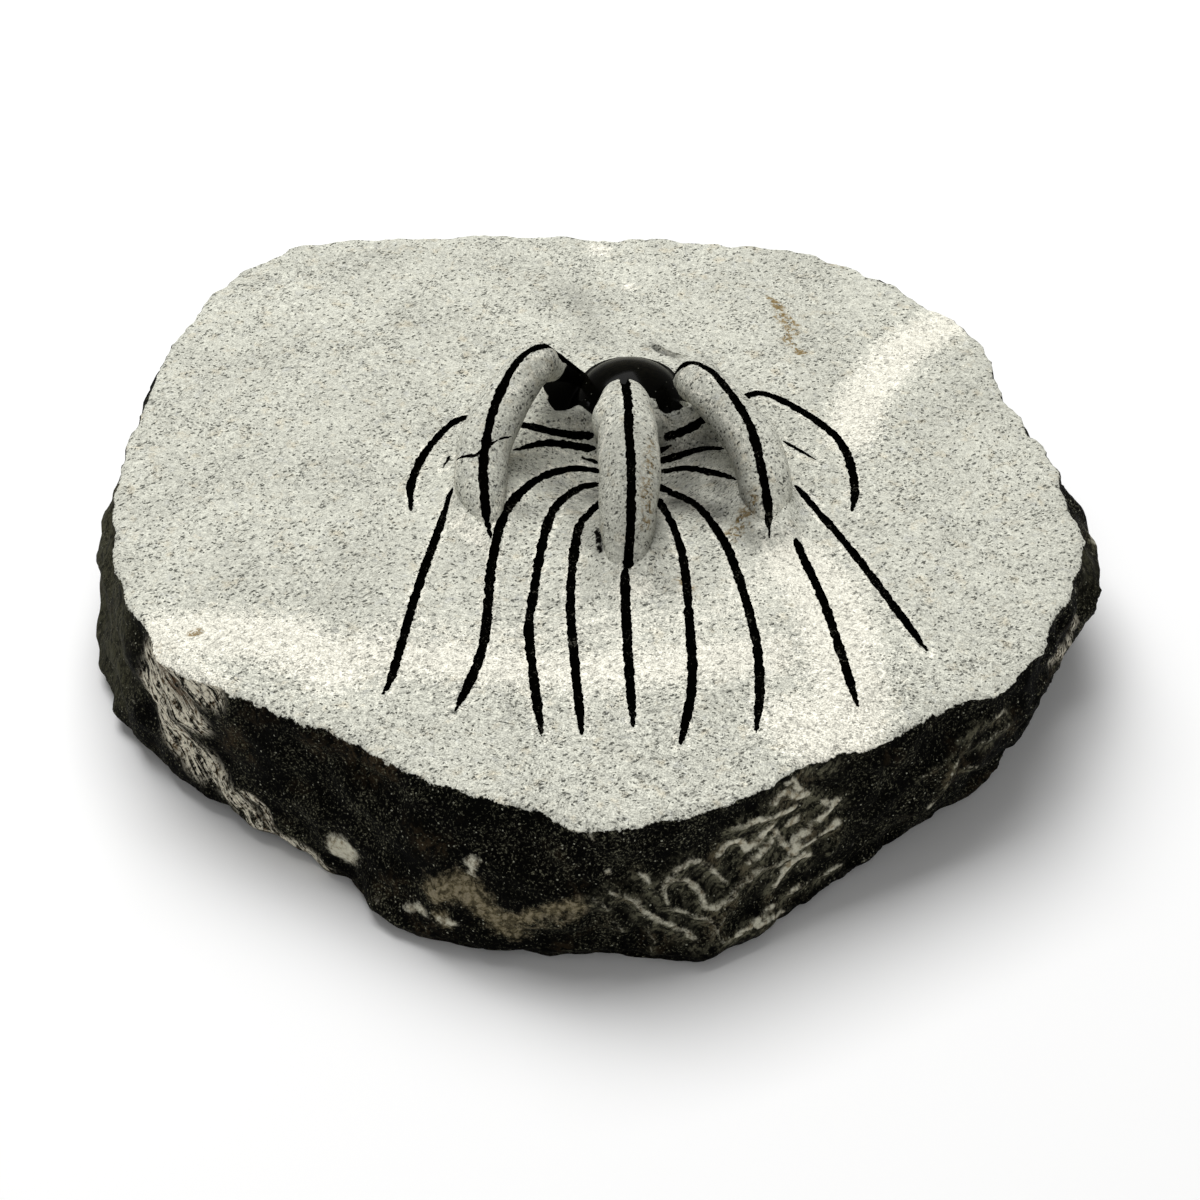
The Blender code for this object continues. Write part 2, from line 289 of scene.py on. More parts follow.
# The broad marks are painted pools of sunlight on the top; the small ones are pale spots.
SUN_PATCHES_AND_PALE_SPOTS = (
    Mark(((-205, -78, 86), (-177, -76, 88), (-144, -80, 88), (-124, -100, 88)), 19.0, 0.9),
    Mark(((-205, -86, 80), (-179, -111, 84)), 14.0, 0.7),
    Mark(((-130, -88, 88), (-69, -94, 88), (-18, -101, 88), (18, -100, 88), (79, -91, 88)), 20.0, 0.7),
    Mark(((-96, -72, 88), (-52, -82, 88), (60, -60, 88), (76, -36, 88)), 24.0, 0.4),
    Mark(((90, -136, 89), (107, -161, 87), (114, -122, 88), (109, -51, 88), (96, -25, 88)), 20.0, 0.95),
    Mark(((190, 185, 88), (159, 155, 88), (135, 110, 88), (128, 80, 88)), 15.0, 0.9),
    Mark(((15, 216, 88),), 4.0, 1.0),
    Mark(((0, 252, 88),), 7.0, 0.9),
    Mark(((12, -46, 88), (20, -44, 88)), 7.0, 0.8),
    Mark(((-68, 4, 90), (-58, -8, 88)), 7.0, 0.8),
)
RUST_STAINS = (
    Mark(((92, 204, 88), (98, 194, 88), (96, 184, 88), (103, 172, 88), (99, 164, 88), (107, 152, 88)),
         2.0, 1.8),
    Mark(((101, 186, 88), (106, 178, 88), (104, 168, 88)), 1.8, 1.3),
    Mark(((127, 239, 86), (135, 234, 86)), 4.0, 0.7),
    Mark(((-190, -75, 88), (-188, -74, 88)), 1.7, 2.6),
    Mark(((38, -37, 88), (43, -42, 87)), 4.0, 0.8),
    Mark(((31, -44, 88),), 2.5, 0.7),
    Mark(((23, -14, 104), (23, 7, 115), (25, 30, 119)), 5.0, 0.75),
    Mark(((5, 24, 118), (4, 10, 114)), 3.0, 0.5),
    Mark(((64, -4, 90), (69, 2, 92), (73, 12, 99)), 6.0, 0.9),
    Mark(((70, 32, 104), (66, 48, 110)), 5.0, 0.6),
    Mark(((-203, -88, 80), (-197, -92, 74), (-192, -97, 70)), 8.0, 1.1),
)
# Painted shade: soft dark marks where shade falls: in the hollow between the claws, beside their roots, under
# their tips, in the crease behind the ball and in the gouge.
SHADE_MARKS = (
    Mark(((-20, 30, 80), (-8, 20, 85), (-6, -6, 90)), 11.0, 0.45),
    Mark(((-39, 14, 90), (-26, 20, 84)), 8.0, 0.40),
    Mark(((45, 85, 77), (44, 60, 75), (44, 40, 78)), 15.0, 0.45),
    Mark(((40, 38, 78), (47, 26, 83), (58, 14, 89)), 12.0, 0.78),
    Mark(((36, 86, 75), (45, 84, 75), (54, 82, 80)), 12.0, 0.65),
    Mark(((58, 47, 84), (63, 22, 91), (68, 5, 92), (75, -8, 91)), 9.0, 0.55),
    Mark(((-12, 97, 87), (15, 90, 80), (40, 95, 82)), 14.0, 0.50),
    Mark(((-47, 22, 100), (-42, 44, 106), (-34, 66, 116), (-24, 84, 120)), 9.0, 0.30),
    Mark(((72, 4, 94), (70, 20, 100), (66, 40, 108), (56, 70, 112), (48, 90, 112)), 9.0, 0.62),
    Mark(((14, -30, 96), (14, -5, 108), (14, 30, 118)), 15.0, 0.40),
    Mark(((24, -20, 94), (28, 5, 96)), 9.0, 0.50),
    Mark(((-2, -26, 90), (4, -12, 94)), 7.0, 0.30),
    Mark(((1, -18, 90), (1, -8, 91)), 4.0, 0.85),
    Mark(((-5, -40, 88), (-4, -28, 88)), 12.0, 0.22),
    Mark(((34, -40, 88), (33, -28, 88)), 12.0, 0.22),
    Mark(((-33, 80, 128), (-27, 92, 128), (-30, 70, 118)), 9.0, 0.50),
    Mark(((-30, 45, 76), (-12, 40, 74), (0, 45, 76)), 16.0, 0.34),
    Mark(((29, 155, 89), (33, 150, 89), (40, 145, 89)), 2.6, 0.8),
    Mark(((-15, 212, 88), (-8, 192, 88), (-3, 165, 89)), 9.0, 0.22),
)
# Black marks: mostly painted black shadow, in the gaps and pockets around the ball and under the middle
# claw's root; the marks on the left and right claws blacken their tips.
BLACK_SHADE_AND_TIPS = (
    Mark(((-18, 107, 103), (-10, 114, 97), (-6, 118, 95)), 8.0),
    Mark(((-23, 122, 88), (-15, 120, 88)), 7.0),
    Mark(((-22, 116, 83), (-14, 115, 84), (-5, 104, 93), (-1, 99, 93)), 6.0),
    Mark(((30, 112, 100), (32, 104, 96), (34, 100, 93)), 5.5),
    Mark(((36, 118, 96), (39, 111, 94), (39, 102, 92)), 4.5),
    Mark(((-27, 98, 132), (-22, 106, 121), (-16, 116, 108)), 3.4),
    Mark(((47, 96, 122), (44, 101, 117), (40, 107, 110), (38, 112, 102)), 2.6),
    Mark(((-1, 1, 88), (0, -8, 90), (1, -19, 90)), 2.5),
)
# Worn faces of the sides; the last mark, on the ball's crown, is a painted sheen.
WORN_FACES_AND_BALL_SHEEN = (
    Mark(((-246, 20, 70), (-246, 20, 20)), 46.0, 1.0),
    Mark(((-228, -40, 70), (-240, -30, 30)), 24.0, 1.0),
    Mark(((238, -2, 70), (240, 8, 50)), 16.0, 0.7),
    Mark(((8, 130, 99), (15, 131, 100), (23, 130, 99)), 10.0, 1.0),
)


# ---------------------------------------------------------------- node wiring


class Wire:
    """A node socket that carries a number, with arithmetic that adds Math nodes."""

    def __init__(self, bench: "Bench", socket: Socket) -> None:
        """Hold a socket and the bench that its nodes are added to."""
        self.bench = bench
        self.socket = socket

    def __add__(self, other: "Wire | float") -> "Wire":
        """Add."""
        return self.bench.maths("ADD", self, other)

    __radd__ = __add__

    def __sub__(self, other: "Wire | float") -> "Wire":
        """Subtract."""
        return self.bench.maths("SUBTRACT", self, other)

    def __rsub__(self, other: float) -> "Wire":
        """Subtract from a number."""
        return self.bench.maths("SUBTRACT", other, self)

    def __mul__(self, other: "Wire | float") -> "Wire":
        """Multiply."""
        return self.bench.maths("MULTIPLY", self, other)

    __rmul__ = __mul__

    def __truediv__(self, other: "Wire | float") -> "Wire":
        """Divide."""
        return self.bench.maths("DIVIDE", self, other)

    def __rtruediv__(self, other: float) -> "Wire":
        """Divide a number."""
        return self.bench.maths("DIVIDE", other, self)

    def __pow__(self, other: float) -> "Wire":
        """Raise to a power."""
        return self.bench.maths("POWER", self, other)

    def least(self, other: "Wire | float") -> "Wire":
        """The smaller of two."""
        return self.bench.maths("MINIMUM", self, other)

    def most(self, other: "Wire | float") -> "Wire":
        """The larger of two."""
        return self.bench.maths("MAXIMUM", self, other)

    def rise(self, low: float, high: float) -> "Wire":
        """A smooth step from 0 at low to 1 at high, whichever of them is the larger."""
        first, last, start, end = (low, high, 0.0, 1.0) if low < high else (high, low, 1.0, 0.0)
        node = self.bench.node("ShaderNodeMapRange", {"interpolation_type": "SMOOTHSTEP"},
                               {"Value": self, "From Min": first, "From Max": last, "To Min": start,
                                "To Max": end})
        return Wire(self.bench, node.outputs["Result"])


class Bench:
    """Builds nodes in one tree, of a material or a Geometry Nodes group, and patterns at given points."""

    def __init__(self, tree: bpy.types.NodeTree, where: Socket | None = None) -> None:
        """Start on a tree, with the points that its patterns are read at."""
        self.tree = tree
        self.where = where

    def node(self, kind: str, settings: dict[str, Any] | None = None,
             inputs: dict[Any, Any] | None = None) -> bpy.types.Node:
        """Add a node, set it up and fill its sockets.

        Args:
            kind: the node's type name.
            settings: the node's own settings, which are set first.
            inputs: values, sockets or wires by socket name or number.

        Returns:
            The node.
        """
        node = self.tree.nodes.new(kind)
        for name, value in (settings or {}).items():
            setattr(node, name, value)
        for name, value in (inputs or {}).items():
            if isinstance(value, Wire):
                value = value.socket
            if isinstance(value, Socket):
                self.tree.links.new(value, node.inputs[name])
            else:
                node.inputs[name].default_value = value
        return node

    def maths(self, operation: str, first: Wire | float, second: Wire | float) -> Wire:
        """A Math node on two values."""
        node = self.node("ShaderNodeMath", {"operation": operation}, {0: first, 1: second})
        return Wire(self, node.outputs[0])

    def vector(self, operation: str, inputs: dict[Any, Any]) -> bpy.types.Node:
        """A Vector Math node."""
        return self.node("ShaderNodeVectorMath", {"operation": operation}, inputs)

    def turned(self, axis: str, angle: float) -> "Bench":
        """The bench with its points turned about an axis by an angle in degrees."""
        node = self.node("ShaderNodeVectorRotate", {"rotation_type": f"{axis}_AXIS"},
                         {"Vector": self.where, "Angle": math.radians(angle)})
        return Bench(self.tree, node.outputs[0])

    def scaled(self, size: Size, turn: float = 0.0) -> "Bench":
        """The bench with its points divided by a pattern's size on each axis, after a turn about Z."""
        where = self.turned("Z", -turn).where if turn else self.where
        share = tuple(1.0 / length for length in size)
        return Bench(self.tree, self.vector("MULTIPLY", {0: where, 1: share}).outputs[0])

    def noise(self, size: float, detail: float = 2.0, roughness: float = 0.5,
              distortion: float = 0.0) -> Wire:
        """Noise from 0 to 1 with features of a size."""
        node = self.node("ShaderNodeTexNoise", None,
                         {"Vector": self.where, "Scale": 1.0 / size, "Detail": detail, "Roughness": roughness,
                          "Distortion": distortion})
        return Wire(self, node.outputs["Fac"])

    def cells(self, size: float = 1.0) -> tuple[Wire, Wire]:
        """Scattered cells: the distance from their middles, and a random number for each cell."""
        node = self.node("ShaderNodeTexVoronoi", None, {"Vector": self.where, "Scale": 1.0 / size})
        parts = self.node("ShaderNodeSeparateColor", None, {0: node.outputs["Color"]})
        return Wire(self, node.outputs["Distance"]), Wire(self, parts.outputs[0])

    def read(self, trace: Trace) -> Wire:
        """A value that was laid on the stone's points."""
        node = self.node("ShaderNodeAttribute", {"attribute_name": trace.value})
        return Wire(self, node.outputs["Fac"])

    def tint(self, share: Wire | float, first: Any, second: Any) -> Socket:
        """Mix two colours.

        Args:
            share: how much of the second colour shows.
            first: a colour or a colour's socket.
            second: a colour or a colour's socket.

        Returns:
            The mixed colour's socket.
        """
        return self.node("ShaderNodeMix", {"data_type": "RGBA"}, {0: share, 6: first, 7: second}).outputs[2]

    def ease(self, colour: Socket, share: Wire) -> Socket:
        """Darken or lighten a colour by a factor."""
        return self.vector("SCALE", {0: colour, "Scale": share}).outputs[0]

    def bump(self, strength: float, depth: float, height: Wire) -> Socket:
        """Normals bent by a height, for a bump that seems so many millimetres deep."""
        return self.node("ShaderNodeBump", None, {"Strength": strength, "Distance": depth * MM,
                                                  "Height": height}).outputs[0]

    def surface(self, colour: Socket, roughness: Wire | float, specular: float,
                inputs: dict[str, Any]) -> Socket:
        """A Principled shader.

        Args:
            colour: its base colour.
            roughness: its roughness.
            specular: its specular level.
            inputs: its other inputs.

        Returns:
            The shader's socket.
        """
        return self.node("ShaderNodeBsdfPrincipled", None,
                         {"Base Color": colour, "Roughness": roughness, "Specular IOR Level": specular,
                          **inputs}).outputs[0]

    def over(self, share: Wire, below: Socket, above: Socket) -> Socket:
        """One shader laid over another by a share, so that only what shows is worked out."""
        return self.node("ShaderNodeMixShader", None, {0: share, 1: below, 2: above}).outputs[0]


def new_material(name: str) -> tuple[bpy.types.Material, Bench]:
    """A new material, and the bench on its empty tree at the object's points in millimetres."""
    material = bpy.data.materials.new(name)
    material.use_nodes = True
    bench = Bench(material.node_tree)
    bench.tree.nodes.clear()
    spot = bench.node("ShaderNodeTexCoord").outputs["Object"]
    bench.where = bench.vector("SCALE", {0: spot, "Scale": 1.0 / MM}).outputs[0]
    return material, bench


def shade(red: float, green: float, blue: float) -> tuple[float, float, float, float]:
    """A screen colour of 0 to 255 as the linear colour that a socket takes."""
    linear = [((c / 255 + 0.055) / 1.055) ** 2.4 if c > 10 else c / 255 / 12.92 for c in (red, green, blue)]
    return (linear[0], linear[1], linear[2], 1.0)


# ---------------------------------------------------------------- finishes


@dataclass(frozen=True)
class TooledTop:
    """The pale tooled top: crushed grain with the tool's fine strokes, the rock's dark specks and painted
    pools of sunlight.
    """

    body: Colour = shade(196, 196, 184)
    warm: Colour = shade(194, 184, 160)
    cool: Colour = shade(174, 176, 174)
    # The pale of the painted sunlit patches and of the scuffed lips.
    pale: Colour = shade(231, 228, 214)
    speck: Colour = shade(48, 49, 44)
    rust: Colour = shade(122, 97, 42)
    stroke_size: Size = (2.6, 1.0, 1.4)
    speck_size: Size = (2.4, 1.0, 1.3)
    pit_kinds: tuple[tuple[Size, float, float], ...] = (
        ((5.2, 2.5, 3.0), 38.0, 0.62), ((3.6, 2.0, 2.2), -20.0, 0.66), ((2.6, 1.9, 2.0), 80.0, 0.62))

    def strokes(self, bench: Bench, size: Size, turns: Size) -> Wire:
        """A streaky pattern whose direction changes from place to place.

        Args:
            bench: where nodes are added.
            size: the streaks' size along, across and up.
            turns: the streaks' directions in plan, in degrees.

        Returns:
            A value around 0.5.
        """
        first, second, third = (bench.scaled(size, turn).noise(1.0, 2.0, 0.6) for turn in turns)
        share = bench.noise(30.0, 1.0)
        early, late = share.rise(0.40, 0.48), share.rise(0.54, 0.62)
        return first + (second - first) * early + (third - second) * late

    def pits(self, bench: Bench, grit: Wire, dense: Wire) -> Wire:
        """Scattered dark pits, some lying one way and some another.

        Args:
            bench: where nodes are added.
            grit: fine noise that roughens their outlines.
            dense: broad noise that crowds them together in places.

        Returns:
            How dark each point is, from 0 to 1.
        """
        found: Wire | float = 0.0
        for size, turn, share in self.pit_kinds:
            reach, chance = bench.scaled(size, turn).cells()
            kept = (chance + 0.4 * (dense - 0.5)).rise(share, share + 0.08)
            found = ((reach + 0.7 * (grit - 0.5)).rise(0.34, 0.16) * kept).most(found)
        return found

    def colour(self, bench: Bench) -> tuple[Socket, Wire]:
        """The top's colour and its height for the bump.

        Args:
            bench: where nodes are added.

        Returns:
            The colour's socket, and the height.
        """
        grit = bench.noise(0.85, 2.0, 0.75)
        clots = bench.noise(3.4, 3.0, 0.6)
        strokes = self.strokes(bench, self.stroke_size, (38.0, -25.0, 80.0))
        base = bench.tint(bench.noise(9.0, 4.0, 0.65).rise(0.54, 0.72) * 0.5, self.body, self.warm)
        base = bench.tint(bench.noise(6.3, 4.0, 0.65, 0.5).rise(0.56, 0.72) * 0.45, base, self.cool)
        # Painted light: pale pools of sunlight, and the pale scuffed lips of the grooves.
        sun_patch_and_scuff = (bench.read(Trace.PAINTED_SUN_AND_SCUFFS) + 0.7 * (clots - 0.5) + 0.5 * (grit - 0.5)).rise(0.2, 0.7)
        base = bench.tint(0.85 * sun_patch_and_scuff, base, self.pale)
        broad = bench.noise(45.0, 2.0)
        ahead = Wire(bench, bench.node("ShaderNodeSeparateXYZ", None, {0: bench.where}).outputs[1])
        coarse = 1.0 + 0.4 * ahead.rise(-60.0, -190.0)
        light = (1.0 + coarse * (1.1 * (strokes - 0.5) + 0.9 * (clots - 0.5) + 1.4 * (grit - 0.5))
                 + 0.45 * (broad - 0.5))
        base = bench.ease(base, light)
        dense = bench.noise(16.0, 2.0)
        fine = self.strokes(bench, self.speck_size, (30.0, 65.0, -30.0))
        specks = (fine + 0.25 * (dense - 0.5)).rise(0.59, 0.68)
        dark = (0.75 * specks).most(self.pits(bench, grit, dense)) * (1.0 - 0.45 * sun_patch_and_scuff)
        base = bench.tint(0.85 * dark, base, self.speck)
        veins = bench.noise(3.2, 4.0, 0.65, 0.6)
        rust = (bench.read(Trace.RUST) * (veins + 0.4 * (grit - 0.5)).rise(0.40, 0.62)).rise(0.15, 0.75)
        base = bench.tint(0.85 * rust, base, self.rust)
        return base, 0.9 * strokes + 0.7 * clots + 0.4 * grit - 0.8 * dark


@dataclass(frozen=True)
class BrokenFlank:
    """The dark broken rock of the sides, bruised pale where it was struck, with painted light on its chip
    ridges and the scallops below them.
    """

    body: Colour = shade(4, 4, 3)
    speck: Colour = shade(112, 111, 92)
    glint: Colour = shade(170, 170, 152)
    brown: Colour = shade(92, 76, 54)
    # The olive-grey of the painted light on the chips' scallops.
    haze: Colour = shade(112, 110, 91)
    clay: Colour = shade(142, 131, 101)
    rust: Colour = shade(66, 45, 24)
    dull: Colour = shade(146, 136, 112)
    bruise: Colour = shade(204, 201, 182)
    strand: Colour = shade(222, 216, 196)
    worn: Colour = shade(74, 73, 57)

    def fibres(self, bench: Bench, heading: float, dip: float, size: Size) -> Wire:
        """The fibres of a striated band.

        Args:
            bench: where nodes are added.
            heading: the direction in plan that they run in, in degrees.
            dip: how steeply they run down, in degrees.
            size: their length, and their pitch across and through.

        Returns:
            A value around 0.5.
        """
        slant = bench.turned("Z", -heading).turned("Y", -dip)
        return slant.scaled(size).noise(1.0, 2.0, 0.55, 0.35)

    def colour(self, bench: Bench) -> tuple[Socket, Wire]:
        """The flank's colour and its height for the bump.

        Args:
            bench: where nodes are added.

        Returns:
            The colour's socket, and the height.
        """
        area = bench.noise(20.0, 2.0)
        grit = bench.noise(0.95, 2.0, 0.7)
        clots = bench.noise(3.2, 3.0, 0.6, 0.4)
        crumbs = bench.noise(1.3, 2.0, 0.6, 0.5)
        specks = (crumbs + 0.35 * (area - 0.5)).rise(0.52, 0.66) * (0.08 + 0.92 * grit.rise(0.45, 0.62))
        base = bench.tint(0.72 * specks, self.body, self.speck)
        reach, chance = bench.cells(2.4)
        glints = (reach + 0.5 * (grit - 0.5)).rise(0.22, 0.08) * chance.rise(0.62, 0.9)
        base = bench.tint(0.8 * glints, base, self.glint)
        tan = bench.noise(34.0, 3.0).rise(0.56, 0.74) * clots.rise(0.4, 0.6)
        base = bench.tint(0.22 * tan, base, self.brown)
        streak = bench.scaled((2.0, 2.0, 14.0)).noise(1.0, 3.0, 0.6)
        worn = (bench.read(Trace.WORN_AND_SHEEN) + 0.5 * (area - 0.5) + 0.35 * (clots - 0.5)).rise(0.12, 0.85)
        base = bench.tint(worn * (0.2 + 0.8 * streak.rise(0.38, 0.62)) * (0.4 + 0.8 * grit), base,
                          self.worn)
        combed = (self.fibres(bench, 30.0, -38.0, (9.0, 3.0, 1.9))
                  + 0.7 * (clots - 0.5) + 0.3 * (grit - 0.5))
        # Painted light: an olive-grey glow on the chips' scallops just below their ridges, where light falls
        # on them.
        haze = (bench.read(Trace.RIDGE_LIGHT) * (0.45 + 0.55 * clots.rise(0.34, 0.56))).rise(0.06, 0.8)
        base = bench.tint(haze * (0.12 + 0.68 * combed.rise(0.40, 0.62)) * (0.55 + 0.6 * grit), base,
                          bench.tint(area.rise(0.48, 0.68) * 0.6, self.haze, self.brown))
        clay = (bench.read(Trace.CLAY) + 0.9 * (clots - 0.5) + 0.5 * (grit - 0.5)).rise(0.3, 1.0)
        base = bench.tint(clay * (0.4 + 0.5 * clots.rise(0.4, 0.58)), base, bench.ease(
            bench.tint(clots.rise(0.46, 0.62), self.clay, self.dull), 0.5 + 0.8 * grit))
        threads = (0.6 * self.fibres(bench, -48.0, 47.0, (20.0, 3.0, 1.7))
                   + 0.4 * self.fibres(bench, -44.0, 50.0, (11.0, 1.7, 0.8)))
        band = (bench.read(Trace.STRAND).rise(0.12, 0.6)
                * (threads + 0.35 * (clots - 0.5) + 0.25 * (grit - 0.5)).rise(0.41, 0.56))
        base = bench.tint(0.9 * band, base, bench.ease(
            bench.tint(clots.rise(0.34, 0.54), self.brown, self.strand), 0.6 + 0.9 * grit))
        stained = (bench.read(Trace.RUST) * (clots + 0.4 * (grit - 0.5)).rise(0.42, 0.6)).rise(0.2, 0.8)
        base = bench.tint(0.85 * stained, base, self.rust)
        # Pale bruises where the rock was struck; on the chip ridges also a painted highlight of their lit
        # edges.
        bruised_and_lit = (bench.read(Trace.BRUISE_AND_HIGHLIGHT) + 0.55 * (clots - 0.5) + 0.35 * (grit - 0.5)).rise(0.36, 0.95)
        base = bench.tint(bruised_and_lit, base, bench.ease(
            bench.tint(clots.rise(0.3, 0.6), self.dull, self.bruise), 0.65 + 0.7 * grit))
        return base, 0.9 * grit + 1.2 * clots + 1.0 * crumbs - 0.9 * (1.0 - threads) * band


@dataclass(frozen=True)
class PolishedBall:
    """The ball's polished black rock."""

    body: Colour = shade(3, 3, 2)
    fleck: Colour = shade(110, 110, 100)
    painted_sheen: Colour = shade(62, 58, 40)
    roughness: float = 0.2
    gloss: float = 0.04

    def colour(self, bench: Bench) -> Socket:
        """Black with a few tiny flecks, and a painted olive sheen on its crown."""
        reach, chance = bench.cells(3.0)
        fleck = reach.rise(0.14, 0.07) * chance.rise(0.75, 0.8)
        scratched = bench.scaled((4.0, 1.2, 1.2), 20.0).noise(1.0, 3.0, 0.65)
        # Painted sheen: an olive band on the ball's crown, where light falls on it.
        crown = bench.read(Trace.WORN_AND_SHEEN) * scratched.rise(0.36, 0.62)
        return bench.tint(0.5 * fleck, bench.tint(0.3 * crown, self.body, self.painted_sheen), self.fleck)

    def near(self, bench: Bench) -> Wire:
        """1 on the ball itself, and 0 on the rock around it."""
        spot = tuple(float(value) for value in np.array(BALL_MIDDLE) - ORIGIN)
        gap = bench.vector("DISTANCE", {0: bench.where, 1: spot})
        return Wire(bench, gap.outputs["Value"]).rise(BALL_RADIUS + 1.2, BALL_RADIUS + 0.4)


@dataclass(frozen=True)
class CutGroove:
    """The black inside of a cut groove."""

    body: Colour = shade(3, 3, 2)
    dust_and_glints: Colour = shade(96, 94, 84)
    roughness: float = 0.5

    def dress(self) -> bpy.types.Material:
        """Build the groove's material.

        Returns:
            The material.
        """
        material, bench = new_material("cut_groove")
        grit = bench.noise(1.2, 3.0, 0.65)
        worn = bench.noise(14.0, 2.0)
        # Pale specks in the black: dust, and painted glints of light caught in the grooves.
        colour = bench.tint(0.6 * (grit + 0.6 * (worn - 0.5)).rise(0.63, 0.76), self.body, self.dust_and_glints)
        shader = bench.surface(colour, self.roughness, 0.0, {"Normal": bench.bump(0.6, 0.4, grit)})
        bench.node("ShaderNodeOutputMaterial", None, {"Surface": shader})
        return material


@dataclass(frozen=True)
class StoneFinish:
    """The whole stone's finish: pale where it is tooled, dark where it is broken, black where polished and
    where shade is painted black.
    """

    top: TooledTop = TooledTop()
    flank: BrokenFlank = BrokenFlank()
    ball: PolishedBall = PolishedBall()
    roughness: float = 0.86
    broken_roughness: float = 0.72
    specular: float = 0.02

    def dress(self) -> bpy.types.Material:
        """Build the stone's material.

        Returns:
            The material.
        """
        material, bench = new_material("carved_rock")
        ragged = (2.4 * (bench.noise(1.6, 2.0, 0.6) - 0.5)
                  + 3.0 * (bench.noise(6.0, 2.0) - 0.5))
        tooled = (bench.read(Trace.RIM) + ragged).rise(-0.25, 0.25)
        # The black share: the polished ball, and painted black shade in the gaps around it.
        black = (bench.read(Trace.BLACK_POLISH_AND_SHADE) + 1.2 * (bench.noise(2.0, 2.0) - 0.5)).rise(-0.25, 0.25)
        # Painted shade: the colours below are darkened by the marked shade.
        unshaded = 1.0 - bench.read(Trace.PAINTED_SHADE)
        colour, height = self.top.colour(bench)
        top = bench.surface(bench.ease(colour, unshaded), self.roughness, self.specular,
                            {"Normal": bench.bump(0.75, 0.55, 0.45 * height)})
        colour, height = self.flank.colour(bench)
        flank = bench.surface(bench.ease(colour, unshaded), self.broken_roughness, self.specular,
                              {"Normal": bench.bump(0.75, 0.55, height)})
        sheen = self.ball.near(bench)
        ball = bench.surface(self.ball.colour(bench),
                             self.roughness - (self.roughness - self.ball.roughness) * sheen, self.specular,
                             {"Coat Weight": self.ball.gloss * sheen, "Coat Roughness": 0.12})
        shader = bench.over(black, bench.over(tooled, flank, top), ball)
        bench.node("ShaderNodeOutputMaterial", None, {"Surface": shader})
        return material


# ---------------------------------------------------------------- Geometry Nodes sweeps


class SweepTree:
    """A Geometry Nodes group with named inputs, and the way its modifier is set and made plain."""

    def __init__(self, name: str, *numbers: str) -> None:
        """Start a group.

        Args:
            name: the group's name.
            numbers: the names of its inputs that are numbers, beside its Finish.
        """
        self.tree = bpy.data.node_groups.new(name, "GeometryNodeTree")
        self.bench = Bench(self.tree)
        face = self.tree.interface
        face.new_socket("Geometry", in_out="INPUT", socket_type="NodeSocketGeometry")
        face.new_socket("Geometry", in_out="OUTPUT", socket_type="NodeSocketGeometry")
        kinds = {**dict.fromkeys(numbers, "NodeSocketFloat"), "Finish": "NodeSocketMaterial"}
        self.sockets = {label: face.new_socket(label, in_out="INPUT", socket_type=kind).identifier
                        for label, kind in kinds.items()}
        self.inputs = self.bench.node("NodeGroupInput")

    def given(self, label: str) -> Wire:
        """The wire of one named input."""
        return Wire(self.bench, self.inputs.outputs[label])

    def drift(self, seed: Wire, scale: Wire | float) -> Wire:
        """Slow noise from -1 to 1 that is different for each seed."""
        grain = self.bench.node("ShaderNodeTexNoise", {"noise_dimensions": "4D"},
                                {"W": seed, "Scale": scale, "Detail": 2.0})
        return (Wire(self.bench, grain.outputs["Fac"]) - 0.5) * 2.0

    def ruffled(self, mesh: bpy.types.Node, swing: Wire) -> Socket:
        """A mesh whose points are pushed along their normals."""
        normal = self.bench.node("GeometryNodeInputNormal").outputs[0]
        push = self.bench.vector("SCALE", {0: normal, "Scale": swing})
        return self.bench.node("GeometryNodeSetPosition", None,
                               {"Geometry": mesh.outputs[0], "Offset": push.outputs[0]}).outputs[0]

    def close(self, geometry: Socket) -> None:
        """End the group with real geometry and its material."""
        real = self.bench.node("GeometryNodeRealizeInstances", None, {0: geometry})
        clad = self.bench.node("GeometryNodeSetMaterial", None,
                               {"Geometry": real.outputs[0], "Material": self.inputs.outputs["Finish"]})
        self.bench.node("NodeGroupOutput", None, {0: clad.outputs[0]})

    def make(self, path: bpy.types.Object, values: dict[str, Any]) -> bpy.types.Object:
        """Sweep along a path and turn the result into a plain mesh.

        Args:
            path: the object that holds the path's points and edges.
            values: the value of each named input.

        Returns:
            The same object with its plain mesh.
        """
        step = path.modifiers.new(self.tree.name, "NODES")
        step.node_group = self.tree
        for label, value in values.items():
            step[self.sockets[label]] = value
        return plain(path)


def plain(item: bpy.types.Object) -> bpy.types.Object:
    """Turn an object's modifiers into its mesh."""
    graph = bpy.context.evaluated_depsgraph_get()
    mesh = bpy.data.meshes.new_from_object(item.evaluated_get(graph))
    item.modifiers.clear()
    item.data = mesh
    return item


def path_object(name: str, points: np.ndarray, values: dict[str, np.ndarray]) -> bpy.types.Object:
    """A line of points with values on them, for a sweep.

    Args:
        name: the object's name.
        points: rows in millimetres.
        values: numbers or directions for each point, by name.

    Returns:
        The object.
    """
    mesh = bpy.data.meshes.new(name)
    mesh.from_pydata(place(points).tolist(), [(i, i + 1) for i in range(len(points) - 1)], [])
    for label, rows in values.items():
        if rows.ndim == 2:
            mesh.attributes.new(label, "FLOAT_VECTOR", "POINT").data.foreach_set("vector", rows.ravel())
        else:
            mesh.attributes.new(label, "FLOAT", "POINT").data.foreach_set("value", rows)
    item = bpy.data.objects.new(name, mesh)
    bpy.context.collection.objects.link(item)
    return item


